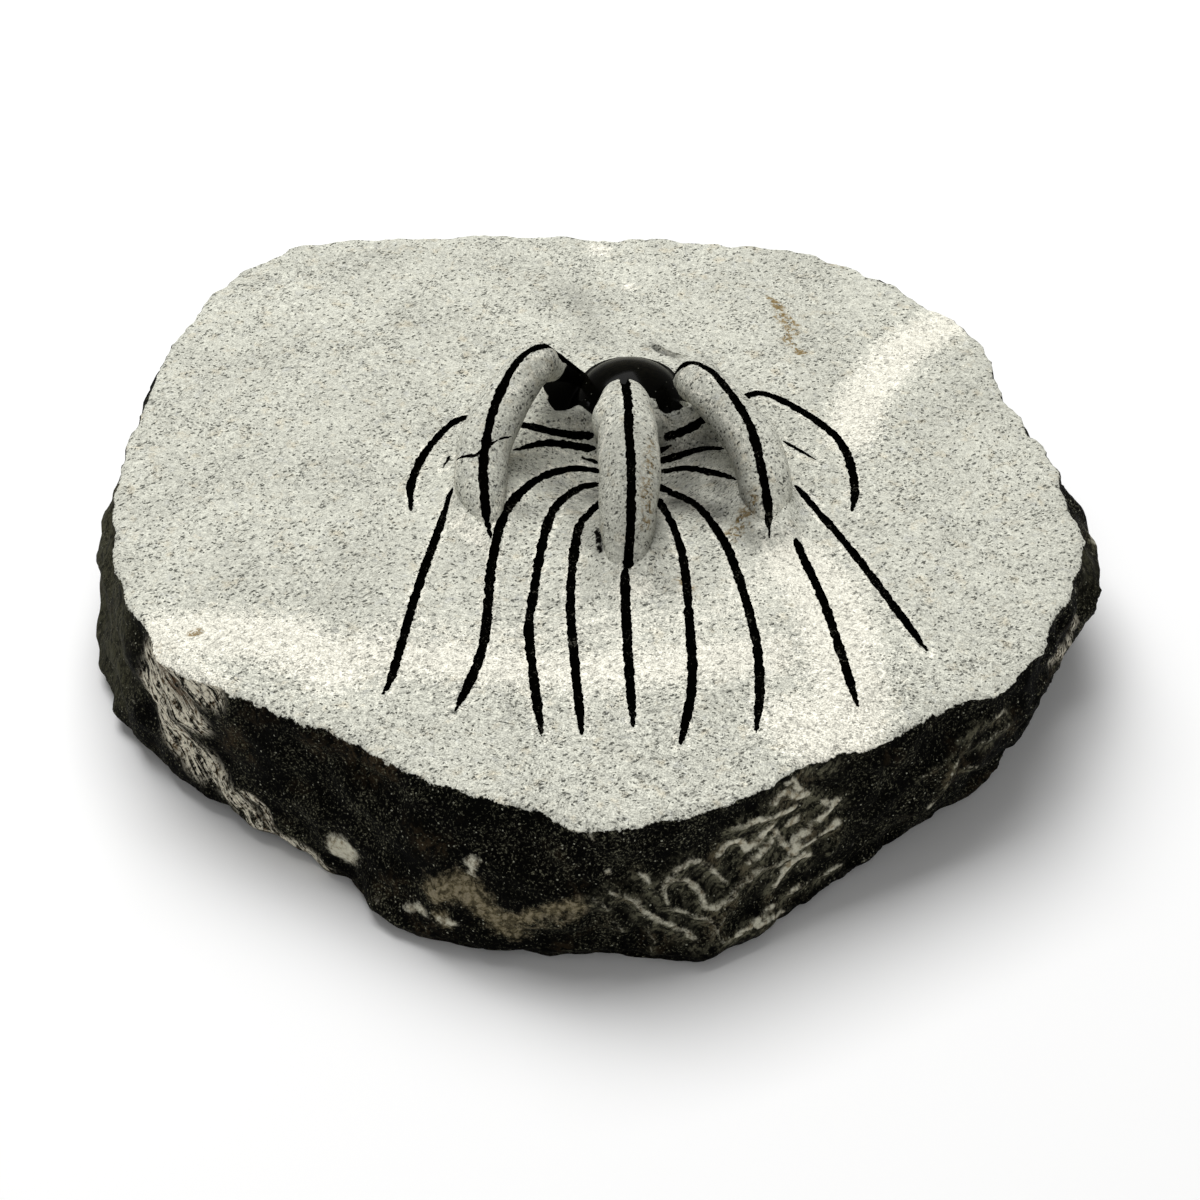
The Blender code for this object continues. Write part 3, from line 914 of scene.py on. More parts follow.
def claw_tree() -> SweepTree:
    """The group that sweeps a claw's oval section under its ridge line.

    Returns:
        The group.
    """
    group = SweepTree("claw_sweep", "Breadth", "Relief", "Relief Size", "Seed")
    bench = group.bench
    line = bench.node("GeometryNodeMeshToCurve", None, {0: group.inputs.outputs["Geometry"]})
    out = bench.node("GeometryNodeInputNamedAttribute", {"data_type": "FLOAT_VECTOR"}, {"Name": "out"})
    girth = bench.node("GeometryNodeInputNamedAttribute", {"data_type": "FLOAT"}, {"Name": "girth"})
    turned = bench.node("GeometryNodeSetCurveNormal", {"mode": "FREE"},
                        {"Curve": line.outputs[0], "Normal": out.outputs[0]})
    ring = bench.node("GeometryNodeCurvePrimitiveCircle", None, {"Resolution": CLAW_SIDES, "Radius": 1.0})
    oval = bench.node("ShaderNodeCombineXYZ", None, {0: 1.0, 1: group.given("Breadth"), 2: 1.0})
    section = bench.node("GeometryNodeTransform", None, {0: ring.outputs[0], "Scale": oval.outputs[0]})
    body = bench.node("GeometryNodeCurveToMesh", None,
                      {"Curve": turned.outputs[0], "Profile Curve": section.outputs[0],
                       "Scale": girth.outputs[0], "Fill Caps": True})
    swing = group.drift(group.given("Seed"), 1.0 / group.given("Relief Size")) * group.given("Relief")
    group.close(group.ruffled(body, swing))
    return group


def groove_tree() -> SweepTree:
    """The group that sweeps a groove's cutter along its course.

    Returns:
        The group.
    """
    group = SweepTree("groove_sweep", "Width", "Spacing", "Start Taper", "Taper", "Wobble", "Chatter",
                      "Seed")
    bench = group.bench
    line = bench.node("GeometryNodeMeshToCurve", None, {0: group.inputs.outputs["Geometry"]})
    even = bench.node("GeometryNodeResampleCurve", {"mode": "LENGTH"},
                      {"Curve": line.outputs[0], "Length": group.given("Spacing")})
    run = bench.node("GeometryNodeSplineParameter")
    far = Wire(bench, run.outputs["Length"])
    whole = Wire(bench, bench.node("GeometryNodeSplineLength").outputs["Length"])
    near_end = (far / group.given("Start Taper")).least((whole - far) / group.given("Taper"))
    fade = 0.30 + 0.70 * (near_end.least(1.0) ** 0.6)
    sway = 1.0 + group.given("Wobble") * group.drift(group.given("Seed"), WOBBLE_SCALE)
    ring = bench.node("GeometryNodeCurvePrimitiveCircle", None,
                      {"Resolution": GROOVE_SIDES, "Radius": group.given("Width") * 0.5})
    tube = bench.node("GeometryNodeCurveToMesh", None,
                      {"Curve": even.outputs[0], "Profile Curve": ring.outputs[0], "Scale": fade * sway,
                       "Fill Caps": True})
    swing = group.drift(group.given("Seed") + 5.0, CHATTER_SCALE) * group.given("Chatter")
    group.close(group.ruffled(tube, swing))
    return group


# ---------------------------------------------------------------- the stone's parts


@dataclass
class Claw:
    """One claw that arches from its root on the slab to its tip on the ball."""

    name: str
    ridge: Course
    lean: Table
    thickness: Table
    seed: float
    outer_side: float = 0.0
    aim: tuple[float, float] = (55.0, -40.0)
    breadth: float = 1.1
    steps: int = 96
    relief: float = 0.5
    relief_size: float = 8.0
    groove_share: tuple[float, float] = (0.05, 0.97)
    groove_side: Table = ((0, 0), (1, 0))
    root_steps: tuple[int, int] = (28, 60)
    root_swell: Table = ((0.0, 1.5), (0.1, 5.0), (0.22, 6.5), (0.46, 0.0))

    def table(self, table: Table, steps: int) -> np.ndarray:
        """A (share, value) table read at even steps along the claw."""
        return np.interp(np.linspace(0.0, 1.0, steps + 1), *zip(*table))

    def course(self, steps: int) -> tuple[np.ndarray, np.ndarray]:
        """The ridge line's points, and the direction out of the claw at each."""
        line = smooth_course(self.ridge, steps)
        along = unit_rows(np.gradient(line, axis=0))
        out = unit_rows(line * (0.0, 1.0, 1.0) - np.array((0.0,) + self.aim))
        out[:, 0] += self.table(self.lean, steps)
        return line, unit_rows(out - np.sum(out * along, axis=1)[:, None] * along)

    def build(self, group: SweepTree, finish: bpy.types.Material) -> bpy.types.Object:
        """Sweep the claw's body.

        Args:
            group: the claw's Geometry Nodes group.
            finish: the stone's material.

        Returns:
            The claw as a closed mesh.
        """
        line, out = self.course(self.steps)
        girth = self.table(self.thickness, self.steps) / 2
        path = path_object(self.name, line - out * girth[:, None], {"out": out, "girth": girth * MM})
        return group.make(path, {"Breadth": self.breadth, "Relief": self.relief * MM,
                                 "Relief Size": self.relief_size * MM, "Seed": self.seed, "Finish": finish})

    def collar(self, x: np.ndarray, y: np.ndarray) -> np.ndarray:
        """How far the slab swells up to meet the claw's root, at plan points."""
        near_steps, steps = self.root_steps
        line, _ = self.course(steps)
        half = self.table(self.thickness, steps) * self.breadth / 2
        best = np.zeros(len(x))
        for step in range(near_steps):
            rise = np.interp(step / steps, *zip(*self.root_swell))
            gap = np.hypot(x - line[step, 0], y - line[step, 1])
            side = np.clip((x - line[step, 0]) * self.outer_side / 10.0, 0.0, 1.0)
            reach = np.maximum(gap - 0.7 * half[step], 0.0)
            best = np.maximum(best, rise * (1.0 + 0.7 * side) * np.exp(-((reach / 8.0) ** 2)))
        return best


@dataclass
class Groove:
    """A groove cut along a course, on the slab or along a claw's ridge."""

    name: str
    points: np.ndarray
    out: np.ndarray
    seed: float
    width: float = 4.9
    sink: float = 0.7
    spacing: float = 0.9
    start_taper: float = 5.0
    taper: float = 20.0
    wobble: float = 0.42
    chatter: float = 1.3
    bare: bool = False

    def build(self, group: SweepTree, finish: bpy.types.Material) -> bpy.types.Object:
        """Sweep the groove's cutter.

        Args:
            group: the groove's Geometry Nodes group.
            finish: the groove's material.

        Returns:
            The cutter as a closed mesh.
        """
        path = path_object(self.name, self.points - self.out * self.sink, {})
        return group.make(path, {"Width": self.width * MM, "Spacing": self.spacing * MM,
                                 "Start Taper": self.start_taper * MM, "Taper": self.taper * MM,
                                 "Wobble": self.wobble, "Chatter": self.chatter * MM, "Seed": self.seed,
                                 "Finish": finish})


@dataclass
class Ball:
    """The polished ball at the back of the hollow."""

    middle: tuple[float, float, float] = BALL_MIDDLE
    radius: float = BALL_RADIUS
    segments: int = 96
    rings: int = 64
    polish_height: float = 11.0
    polish_slope: float = 0.9

    def build(self, finish: bpy.types.Material) -> bpy.types.Object:
        """Build the ball as a closed mesh of rings.

        Args:
            finish: the stone's material.

        Returns:
            The ball.
        """
        turns = np.arange(self.segments) * 2 * math.pi / self.segments
        rows = [(0.0, 0.0, 1.0)]
        for ring in range(1, self.rings):
            tilt = math.pi * ring / self.rings
            rows += [(math.sin(tilt) * math.cos(turn), math.sin(tilt) * math.sin(turn), math.cos(tilt))
                     for turn in turns]
        rows.append((0.0, 0.0, -1.0))
        points = np.array(self.middle) + self.radius * np.array(rows)
        count = self.segments
        faces = [(0, 1 + side, 1 + (side + 1) % count) for side in range(count)]
        faces += ring_faces(1, self.rings - 1, count)
        low = 1 + (self.rings - 2) * count
        faces += [(low + side, len(rows) - 1, low + (side + 1) % count) for side in range(count)]
        return mesh_object("ball", points, faces, finish)

    def polish(self, points: np.ndarray) -> np.ndarray:
        """How far inside the black part each point is, in millimetres: the ball's polished cap, and the
        painted black shade of the gaps and pockets around it.
        """
        offset = points - np.array(self.middle)
        on_ball = 1.2 - np.abs(np.linalg.norm(offset, axis=1) - self.radius)
        above = offset[:, 2] - self.polish_height + self.polish_slope * offset[:, 1]
        black = np.minimum(4.0 * on_ball, above)
        for mark in BLACK_SHADE_AND_TIPS:
            black = np.maximum(black, mark.spread - distance_to(points, mark.course))
        return black


def ring_faces(start: int, rings: int, count: int) -> list[tuple[int, ...]]:
    """The quads between rings of points that are numbered one after another."""
    return [(low + side, low + count + side, low + count + (side + 1) % count, low + (side + 1) % count)
            for low in range(start, start + (rings - 1) * count, count) for side in range(count)]


def mesh_object(name: str, points: np.ndarray, faces: list[tuple[int, ...]],
                finish: bpy.types.Material) -> bpy.types.Object:
    """Make a smooth-shaded mesh object from points in the carver's measures."""
    mesh = bpy.data.meshes.new(name)
    mesh.from_pydata(place(points).tolist(), [], faces)
    mesh.materials.append(finish)
    mesh.shade_smooth()
    item = bpy.data.objects.new(name, mesh)
    bpy.context.collection.objects.link(item)
    return item


@dataclass
class Slab:
    """The slab: its tooled top with the hollow, and its broken sides."""

    claws: list[Claw]
    height: float = 88.0
    hub: tuple[float, float] = (15.0, 50.0)
    edge: Table = (
        (0, 216), (10, 206), (18, 204), (30, 216), (47, 223), (65, 222), (80, 214), (93, 213),
        (104, 222), (119, 243), (132, 278), (144, 275), (155, 268), (170, 255), (184, 259),
        (203, 258), (213, 258), (222, 250), (230, 237), (240, 236), (250, 246), (264, 256),
        (277, 245), (286, 231), (300, 233), (315, 235), (334, 228), (341, 220), (346, 224),
    )
    fray: Table = (
        (190, 0), (195, 2.5), (201, 5), (204, 3.5), (208, -1), (213, 3), (217, 2), (221, -3), (226, -0.5),
        (246, -1), (249, -2.5), (252, -4.5), (255, -7), (258, -9), (261, -7.5), (264, -2.5), (267, -1.5),
        (270, 2), (276, 0.5), (282, 2), (285, 4.5), (288, 0), (291, -4), (294, -4), (297, -2.5), (301, -2),
        (306, -6.5), (309, -9.5), (312, -8.5), (315, -4), (318, 0.5), (321, 4), (327, 5), (331, 1),
        (336, 6), (342, 8), (345, 3.5), (351, 2), (356, 0),
    )
    fray_depth: float = 30.0
    lip: Table = ((0.955, 0.0), (0.978, 0.1), (0.993, 0.4), (1.0, 1.6))
    lip_depth: float = 3.4
    unevenness: tuple[float, float] = (1.6, 110.0)
    ledges: Size = (5.0, 5.0, 24.0)
    breaks: Size = (3.5, 16.0, 13.0)
    jitter: tuple[float, float] = (1.3, 3.2)
    belly_height: float = 45.0
    belly: Table = (
        (0, 19), (20, 12), (50, 6), (100, 8), (140, 5), (170, 11), (190, 10), (205, 6), (220, -2),
        (235, 6), (250, 12), (270, 6), (285, 8), (300, -2), (315, 2), (330, 2), (345, 15),
    )
    foot_height: float = 9.0
    foot: Table = (
        (0, 6), (20, 2), (50, -8), (100, -4), (140, -8), (165, 8), (180, 12), (195, 14), (205, 7),
        (212, 1), (220, -5), (232, 9), (245, 19), (258, 6), (266, 0), (277, 15), (285, 12),
        (292, 0), (303, -15), (312, -14), (320, -10), (335, -16), (347, 0),
    )
    underside_inset: float = 7.0
    hollow: tuple[float, float] = (15.5, 79.0)
    hollow_depth: float = 25.0
    hollow_half_width: float = 64.0
    hollow_front: float = 83.0
    hollow_back: float = 25.0
    hollow_squareness: float = 2.4
    swell_height: float = 8.0
    swell_radius: float = 36.0
    pockets: Table = ((-19, 111, 8, 8, 13), (45, 111, 5, 8, 9))
    chip_share: Table = ((0, 1.0), (100, 0.9), (185, 0.7), (205, 0.25), (258, 0.25), (266, 0.5),
                         (300, 0.8), (345, 1.0))
    chip_size: float = 17.0
    chip_depth: float = 3.4
    chip_reach: float = 0.62
    ridge_depth: float = 2.6
    ridge_width: float = 3.6
    ridge_reach: float = 12.0
    limits: Table = ((-256.0, 250.6), (-211.8, 274.2))
    old_chips: int = 22
    weathering_seed: int = 5
    fine_azimuth: float = 0.36
    coarse_azimuth: float = 0.72
    levels: int = 52
    fine_grid: float = 3.0
    fine_field: tuple[float, ...] = (-132.0, 160.0, -172.0, 150.0)
    fine_spots: Table = ((101, 178, 34), (-189, -75, 12))
    coarse_grid: float = 7.5

    def top_height(self, x: np.ndarray, y: np.ndarray) -> np.ndarray:
        """Height of the tooled top at plan points."""
        reach = np.where(y < self.hollow[1], self.hollow_front, self.hollow_back)
        across = np.abs(x - self.hollow[0]) / self.hollow_half_width
        along = np.abs(y - self.hollow[1]) / reach
        power = self.hollow_squareness
        rho = (across ** power + along ** power) ** (1.0 / power)
        hollow = self.hollow_depth * np.clip(1.0 - rho * rho, 0.0, None) ** 2
        away = np.hypot(x - BALL_MIDDLE[0], y - BALL_MIDDLE[1])
        swell = self.swell_height * np.exp(-((away / self.swell_radius) ** 2))
        flat = np.stack((x, y, np.full(len(x), 330.0)), axis=1)
        swing, size = self.unevenness
        height = self.height + swell - hollow + swing * rough(flat, size, 0.0)
        for middle_x, middle_y, wide, deep, down in self.pockets:
            height -= down * np.exp(-((x - middle_x) / wide) ** 2 - ((y - middle_y) / deep) ** 2)
        return height + np.max([claw.collar(x, y) for claw in self.claws], axis=0)

    def flank_radius(self, azimuth: np.ndarray, height: np.ndarray) -> np.ndarray:
        """Radius of the broken side from the hub, with its ledges and chips."""
        foot, belly = around(self.foot, azimuth), around(self.belly, azimuth)
        low = foot - self.underside_inset * (1.0 - height / self.foot_height)
        middle = foot + (belly - foot) * (height - self.foot_height) / (self.belly_height - self.foot_height)
        high = belly * (self.height - height) / (self.height - self.belly_height)
        stand = np.where(height < self.foot_height, low, np.where(height < self.belly_height, middle, high))
        near_top = np.clip(1.0 - (self.height - height) / self.fray_depth, 0.0, 1.0)
        radius = around(self.edge, azimuth) + around(self.fray, azimuth) * near_top + stand
        turn = np.radians(azimuth)
        for (depth, often, tall), shift in ((self.ledges, 0.0), (self.breaks, 7.0)):
            spots = np.stack((np.cos(turn) * often + shift, np.sin(turn) * often, height / tall), axis=1)
            radius = radius + depth * np.array([noise.noise(Vector(spot)) for spot in spots])
        return radius

    def polar(self, points: np.ndarray) -> tuple[np.ndarray, np.ndarray]:
        """Azimuth in degrees, and radius, of points seen from the hub."""
        offset = points[:, :2] - np.array(self.hub)
        return np.degrees(np.arctan2(offset[:, 1], offset[:, 0])) % 360.0, np.hypot(*offset.T)

    def plan(self, azimuth: np.ndarray, radius: np.ndarray) -> tuple[np.ndarray, np.ndarray]:
        """Plan points at radii from the hub, eased in where they come near the drawing's limits."""
        turn = np.radians(azimuth)
        x, y = self.hub[0] + radius * np.cos(turn), self.hub[1] + radius * np.sin(turn)
        (west, east), (south, north) = self.limits
        return self.ease(x, west, east), self.ease(y, south, north)

    def ease(self, value: np.ndarray, low: float, high: float, margin: float = 4.0) -> np.ndarray:
        """Bend values smoothly so that they stay between two limits."""
        over, under = (value - high + margin) / margin, (low + margin - value) / margin
        value = np.where(over > 0.0, high - margin * (1 - np.tanh(over)), value)
        return np.where(under > 0.0, low + margin * (1 - np.tanh(under)), value)

    def azimuths(self) -> np.ndarray:
        """The azimuths of the rings' points, closer together at the front."""
        marks, now = [], 0.0
        while now < 360.0 - 0.3:
            marks.append(now)
            now += self.fine_azimuth if 192.0 < now < 348.0 else self.coarse_azimuth
        return np.array(marks)

    def chipped(self, points: np.ndarray, azimuth: np.ndarray) -> np.ndarray:
        """How far each point of the side is chipped back, in millimetres."""
        ridge = np.min([distance_to(points, mark.course) for mark in CHIP_RIDGES], axis=0)
        region = np.exp(-((ridge / self.ridge_reach) ** 4))
        traced = self.ridge_depth * (1.0 - np.exp(-((ridge / self.ridge_width) ** 2))) * region
        stretch = np.array((1.0, 1.0, 1.7)) / self.chip_size
        reach = np.array([noise.voronoi(Vector(point))[0][0] for point in points * stretch])
        loose = self.chip_depth * np.maximum(1.0 - (reach / self.chip_reach) ** 2, 0.0)
        loose *= around(self.chip_share, azimuth) * (1.0 - region)
        grain = 0.55 * rough(points, 5.0, 2.0) + 0.4 * rough(points, 2.6, 4.0)
        return traced + loose + grain

    def build(self, finish: bpy.types.Material) -> bpy.types.Object:
        """Build the slab as one closed mesh.

        Args:
            finish: the stone's material.

        Returns:
            The slab.
        """
        azimuth = self.azimuths()
        count = len(azimuth)
        top = np.full(count, self.height)
        edge = self.flank_radius(azimuth, top)
        x, y = self.plan(azimuth, edge)
        swing, size = self.jitter
        jitter = swing * rough(np.stack((x, y, top), axis=1), size, 6.0)
        rings = []
        for share, drop in self.lip:
            x, y = self.plan(azimuth, edge * share + (jitter if share > 0.99 else 0.0))
            rings.append(np.stack((x, y, self.top_height(x, y) - drop), axis=1))
        for level in np.linspace(self.height - self.lip_depth, 0.0, self.levels):
            height = np.full(count, level)
            radius = self.flank_radius(azimuth, height)
            points = np.stack((*self.plan(azimuth, radius), height), axis=1)
            share = np.interp(level, (0.0, 3.0, self.height - 6.0, self.height), (0.5, 1.0, 1.0, 0.3))
            fade = np.interp(level, (self.height - 8.0, self.height), (0.0, 1.0))
            radius = radius - share * self.chipped(points, azimuth) + fade * jitter
            rings.append(np.stack((*self.plan(azimuth, radius), height), axis=1))
        faces = ring_faces(0, len(rings), count)
        points = np.vstack(rings)
        faces.append(tuple(reversed(range(len(points) - count, len(points)))))
        cap_points, cap_faces = self.cap(rings[0], len(points))
        return mesh_object("slab", np.vstack((points, cap_points)), faces + cap_faces, finish)

    def cap(self, ring: np.ndarray, offset: int) -> tuple[np.ndarray, list[tuple[int, ...]]]:
        """Fill the top inside its first ring with even triangles.

        Args:
            ring: the ring's points, whose numbers start at 0.
            offset: the number that the first new point takes.

        Returns:
            The new points, and the triangles.
        """
        west, east, south, north = self.fine_field
        spots = []
        for step, near in ((self.fine_grid, True), (self.coarse_grid, False)):
            for row, y in enumerate(np.arange(-260.0, 340.0, step * 0.866)):
                for x in np.arange(-280.0, 280.0, step) + (row % 2) * step / 2:
                    carved = (west < x < east and south < y < north) or any(
                        math.hypot(x - spot[0], y - spot[1]) < spot[2] for spot in self.fine_spots)
                    if carved == near:
                        spots.append((x, y))
        spots = np.array(spots)
        azimuth, radius = self.polar(spots)
        ring_azimuth, ring_radius = self.polar(ring)
        order = np.argsort(ring_azimuth)
        limit = np.interp(azimuth, ring_azimuth[order], ring_radius[order], period=360.0)
        plan = [Vector(spot[:2]) for spot in (*ring, *spots[radius < limit - 2.0])]
        found, _, triangles, origins, _, _ = delaunay_2d_cdt(plan, [], [tuple(range(len(ring)))], 1, 1e-6)
        numbers, fresh = [], []
        for spot, origin in zip(found, origins):
            if origin and origin[0] < len(ring):
                numbers.append(origin[0])
                continue
            numbers.append(offset + len(fresh))
            fresh.append((spot.x, spot.y))
        fresh = np.array(fresh)
        height = self.top_height(fresh[:, 0], fresh[:, 1])
        faces = [tuple(numbers[corner] for corner in triangle) for triangle in triangles]
        return np.column_stack((fresh, height)), faces

    def weathering(self) -> tuple[Mark, ...]:
        """Old chips scattered over the sides and the back, which nothing else marks.

        Returns:
            The chips' marks.
        """
        draw = np.random.default_rng(self.weathering_seed)
        found = []
        for azimuth in np.linspace(-8.0, 172.0, self.old_chips):
            turn, level = azimuth + draw.uniform(-5.0, 5.0), draw.uniform(14.0, 76.0)
            slope, length = draw.uniform(-2.2, 1.6), draw.uniform(1.5, 5.0)
            steps = np.linspace(-0.5, 0.5, 5)
            turns = (turn + length * steps) % 360.0
            levels = np.clip(level + slope * length * steps * 2.0 + draw.uniform(-2.5, 2.5, 5), 6.0, 82.0)
            x, y = self.plan(turns, self.flank_radius(turns, levels))
            found.append(Mark(tuple(zip(x, y, levels)), draw.uniform(1.3, 3.2), draw.uniform(0.5, 0.95)))
        return tuple(found)

    def rim(self, points: np.ndarray) -> np.ndarray:
        """How far inside the tooled top each point is: below zero on the broken sides."""
        azimuth, radius = self.polar(points)
        inward = self.flank_radius(azimuth, np.full(len(points), self.height)) - radius
        above = points[:, 2] - self.top_height(points[:, 0], points[:, 1]) + 2.6
        carved = (inward > 45.0) & (points[:, 2] > 50.0)
        return np.where(carved, inward, np.minimum(inward, above))


@dataclass
class Sculpture:
    """The whole carved stone."""

    ball: Ball = field(default_factory=Ball)
    claws: list[Claw] = field(default_factory=lambda: [
        Claw("left_claw",
             ridge=((-54, -5, 86), (-56, 8, 103), (-57, 24, 112), (-54, 46, 122), (-48, 66, 129),
                    (-39, 82, 136), (-29, 95, 134), (-22, 106, 121), (-16, 116, 108), (-6, 125, 92)),
             lean=((0, 0), (0.3, 0.2), (0.5, 0), (0.6, -0.2), (0.7, 0.15), (0.8, 1.0), (1, 2.0)),
             thickness=((0, 6), (0.08, 17), (0.2, 24), (0.42, 24), (0.56, 21), (0.7, 19), (0.8, 17.5),
                        (0.9, 12), (1, 6)),
             seed=3.0, outer_side=-1.0,
             groove_side=((0, 0), (0.56, 0), (0.64, 2.2), (0.7, 3.2), (0.8, 2.6), (0.9, 1.0), (1, 0))),
        Claw("middle_claw",
             ridge=((12, -41, 84), (14, -26, 99), (15, -6, 112), (15, 15, 120), (14, 38, 124),
                    (14, 57, 124), (13, 76, 121), (12, 91, 115), (12, 102, 105), (12, 108, 95)),
             lean=((0, 0), (0.1, 0.12), (0.3, 0.12), (0.42, 0), (0.62, 0), (0.68, 0.16), (0.74, 0.05),
                   (0.8, 0), (1, 0)),
             thickness=((0, 6), (0.08, 17), (0.2, 24.5), (0.35, 27), (0.5, 28), (0.62, 26.5), (0.68, 29),
                        (0.74, 26.5), (0.85, 21), (0.95, 16), (1, 10)),
             seed=11.0),
        Claw("right_claw",
             ridge=((82, -6, 85), (82, 5, 98), (79, 22, 110), (75, 42, 118), (68, 61, 122),
                    (58, 79, 126), (50, 91, 124), (44, 101, 117), (40, 107, 110), (38, 112, 102)),
             lean=((0, 0), (0.25, -0.2), (0.45, -0.15), (0.65, 0.25), (0.78, 0.1), (0.88, -0.9),
                   (1, -3.0)),
             thickness=((0, 6), (0.08, 17), (0.2, 24), (0.45, 24.5), (0.6, 22), (0.75, 21), (0.88, 20),
                        (1, 15)),
             seed=23.0, outer_side=1.0),
    ])
    courses: dict[str, Course] = field(default_factory=lambda: {
        "left_far": ((-2, 91), (-28, 89), (-50, 90), (-71, 95), (-87, 69), (-94, 40), (-93, 17)),
        "left_dash": ((-2, 87), (-25, 83), (-44, 66)),
        "left_tick": ((-76, 62), (-79, 52)),
        "left_short": ((-1, 81), (-10, 81)),
        "left_outer": ((-73, 31), (-81, -10), (-88, -50), (-95, -102), (-99, -119)),
        "left_wide": ((1, 75), (-11, 72), (-23, 60), (-35, 39), (-46, 10), (-52, -23), (-54, -79),
                      (-60, -110), (-66, -130)),
        "left_mid": ((0, 65), (-10, 54), (-20, 29), (-27, -1), (-32, -50), (-33, -79), (-26, -147)),
        "left_near": ((2, 47), (-5, 21), (-11, 0), (-14, -47), (-12, -91), (-8, -146)),
        "centre": ((12, -33), (12, -46), (13, -91), (15, -141)),
        "left_root": ((-56, 6), (-54, -3), (-53, -8)),
        "right_root": ((82, 5), (82, -4), (82, -9)),
        "right_near": ((29, 48), (34, 12), (40, -20), (42, -68), (42, -113), (36, -153)),
        "right_mid": ((29, 64), (42, 40), (52, 14), (63, -18), (72, -74), (73, -113), (70, -145)),
        "right_wide": ((30, 75), (45, 70), (60, 52), (68, 38)),
        "right_dash": ((29, 82), (51, 81), (63, 74)),
        "right_short": ((29, 86), (38, 88)),
        "right_far": ((29, 90), (50, 93), (68, 104), (83, 116), (104, 100), (122, 74), (127, 40),
                      (124, 16)),
        "right_tick": ((93, 75), (109, 59)),
        "right_outer": ((97, 37), (114, 3), (131, -36), (152, -88)),
        "right_spare": ((95, -7), (107, -59), (117, -127)),
    })
    gouge: Course = ((28, 158), (32, 151), (40, 146), (47, 146))
    crack: Course = ((-71, 32, 108), (-65, 29, 112.6), (-61, 28, 114.2), (-55, 33, 116), (-49, 38, 116.6),
                     (-43, 45, 113))
    crease_angle: float = 40.0
    claw_steps: int = 80
    scuff: Size = (0.5, 3.0, 1.6)
    # How far the painted light on the chips' scallops spreads, and how far it is shifted below the ridges.
    ridge_light_spread: float = 2.3
    ridge_light_offset: Size = (1.0, 0.0, 2.5)

    def grooves(self, slab: Slab) -> list[Groove]:
        """All the grooves: those across the slab, and one along each claw's ridge."""
        found = []
        for seed, (name, plan) in enumerate(self.courses.items()):
            length = sum(math.dist(first, second) for first, second in zip(plan, plan[1:]))
            line = smooth_course(plan, max(4, round(length / 4.0)))
            x, y = line[:, 0], line[:, 1]
            points = np.column_stack((line, slab.top_height(x, y)))
            slope_x = (slab.top_height(x + 1, y) - slab.top_height(x - 1, y)) / 2
            slope_y = (slab.top_height(x, y + 1) - slab.top_height(x, y - 1)) / 2
            out = unit_rows(np.column_stack((-slope_x, -slope_y, np.ones(len(x)))))
            small = name.endswith("tick")
            found.append(Groove(name, points, out, seed * 3.0, width=2.8 if small else 4.9,
                                sink=0.2 if small else 0.7))
        x, y = smooth_course(self.gouge, 12).T
        found.append(Groove("gouge", np.column_stack((x, y, slab.top_height(x, y))),
                            np.tile((0.0, 0.0, 1.0), (len(x), 1)), 5.0, width=6.0, sink=-0.9, taper=6.0,
                            bare=True))
        for claw in self.claws:
            line, out = claw.course(self.claw_steps)
            across = unit_rows(np.cross(np.gradient(line, axis=0), out))
            line = line + claw.table(claw.groove_side, self.claw_steps)[:, None] * across
            first, last = (round(share * self.claw_steps) for share in claw.groove_share)
            found.append(Groove(f"{claw.name}_ridge", line[first:last], out[first:last], claw.seed + 1.0,
                                taper=4.0))
        found.append(Groove("crack", smooth_course(self.crack, 40), np.tile((0.0, -0.3, 0.95), (41, 1)),
                            7.0, width=1.7, sink=0.1, spacing=0.8, taper=8.0, wobble=0.6, chatter=0.7))
        return found

    def carve(self, body: bpy.types.Object, tool: bpy.types.Object, way: Way) -> None:
        """Add or cut one tool, and throw the tool away."""
        step = body.modifiers.new(tool.name, "BOOLEAN")
        step.operation = way.value
        step.object = tool
        step.solver = "MANIFOLD"
        step.material_mode = "TRANSFER"
        plain(body)
        bpy.data.objects.remove(tool, do_unlink=True)

    def scuffs(self, points: np.ndarray) -> np.ndarray:
        """How pale the lips of the grooves are at each point."""
        share, offset, width = self.scuff
        pale = np.zeros(len(points))
        tooled = points[:, 2] > 60.0
        near = np.min([distance_to(points[tooled, :2], course) for course in self.courses.values()], axis=0)
        pale[tooled] = share * np.exp(-((near - offset) / width) ** 2)
        return pale

    def mark(self, stone: bpy.types.Object, slab: Slab) -> None:
        """Lay every trace on the stone's points.

        Args:
            stone: the finished mesh.
            slab: the slab, which knows where its rim is.
        """
        mesh = stone.data
        flat = np.empty(len(mesh.vertices) * 3)
        mesh.vertices.foreach_get("co", flat)
        points = flat.reshape(-1, 3) / MM + ORIGIN
        # Painted shade: darker the deeper a point lies below the top, near the hollow under the claws.
        depth = np.clip((slab.height - points[:, 2]) / 22.0, 0.0, 1.0)
        near = np.exp(-(((points[:, 0] - BALL_MIDDLE[0]) / 62.0) ** 4) - ((points[:, 1] - 75.0) / 60.0) ** 4)
        chips = CHIP_RIDGES + slab.weathering()
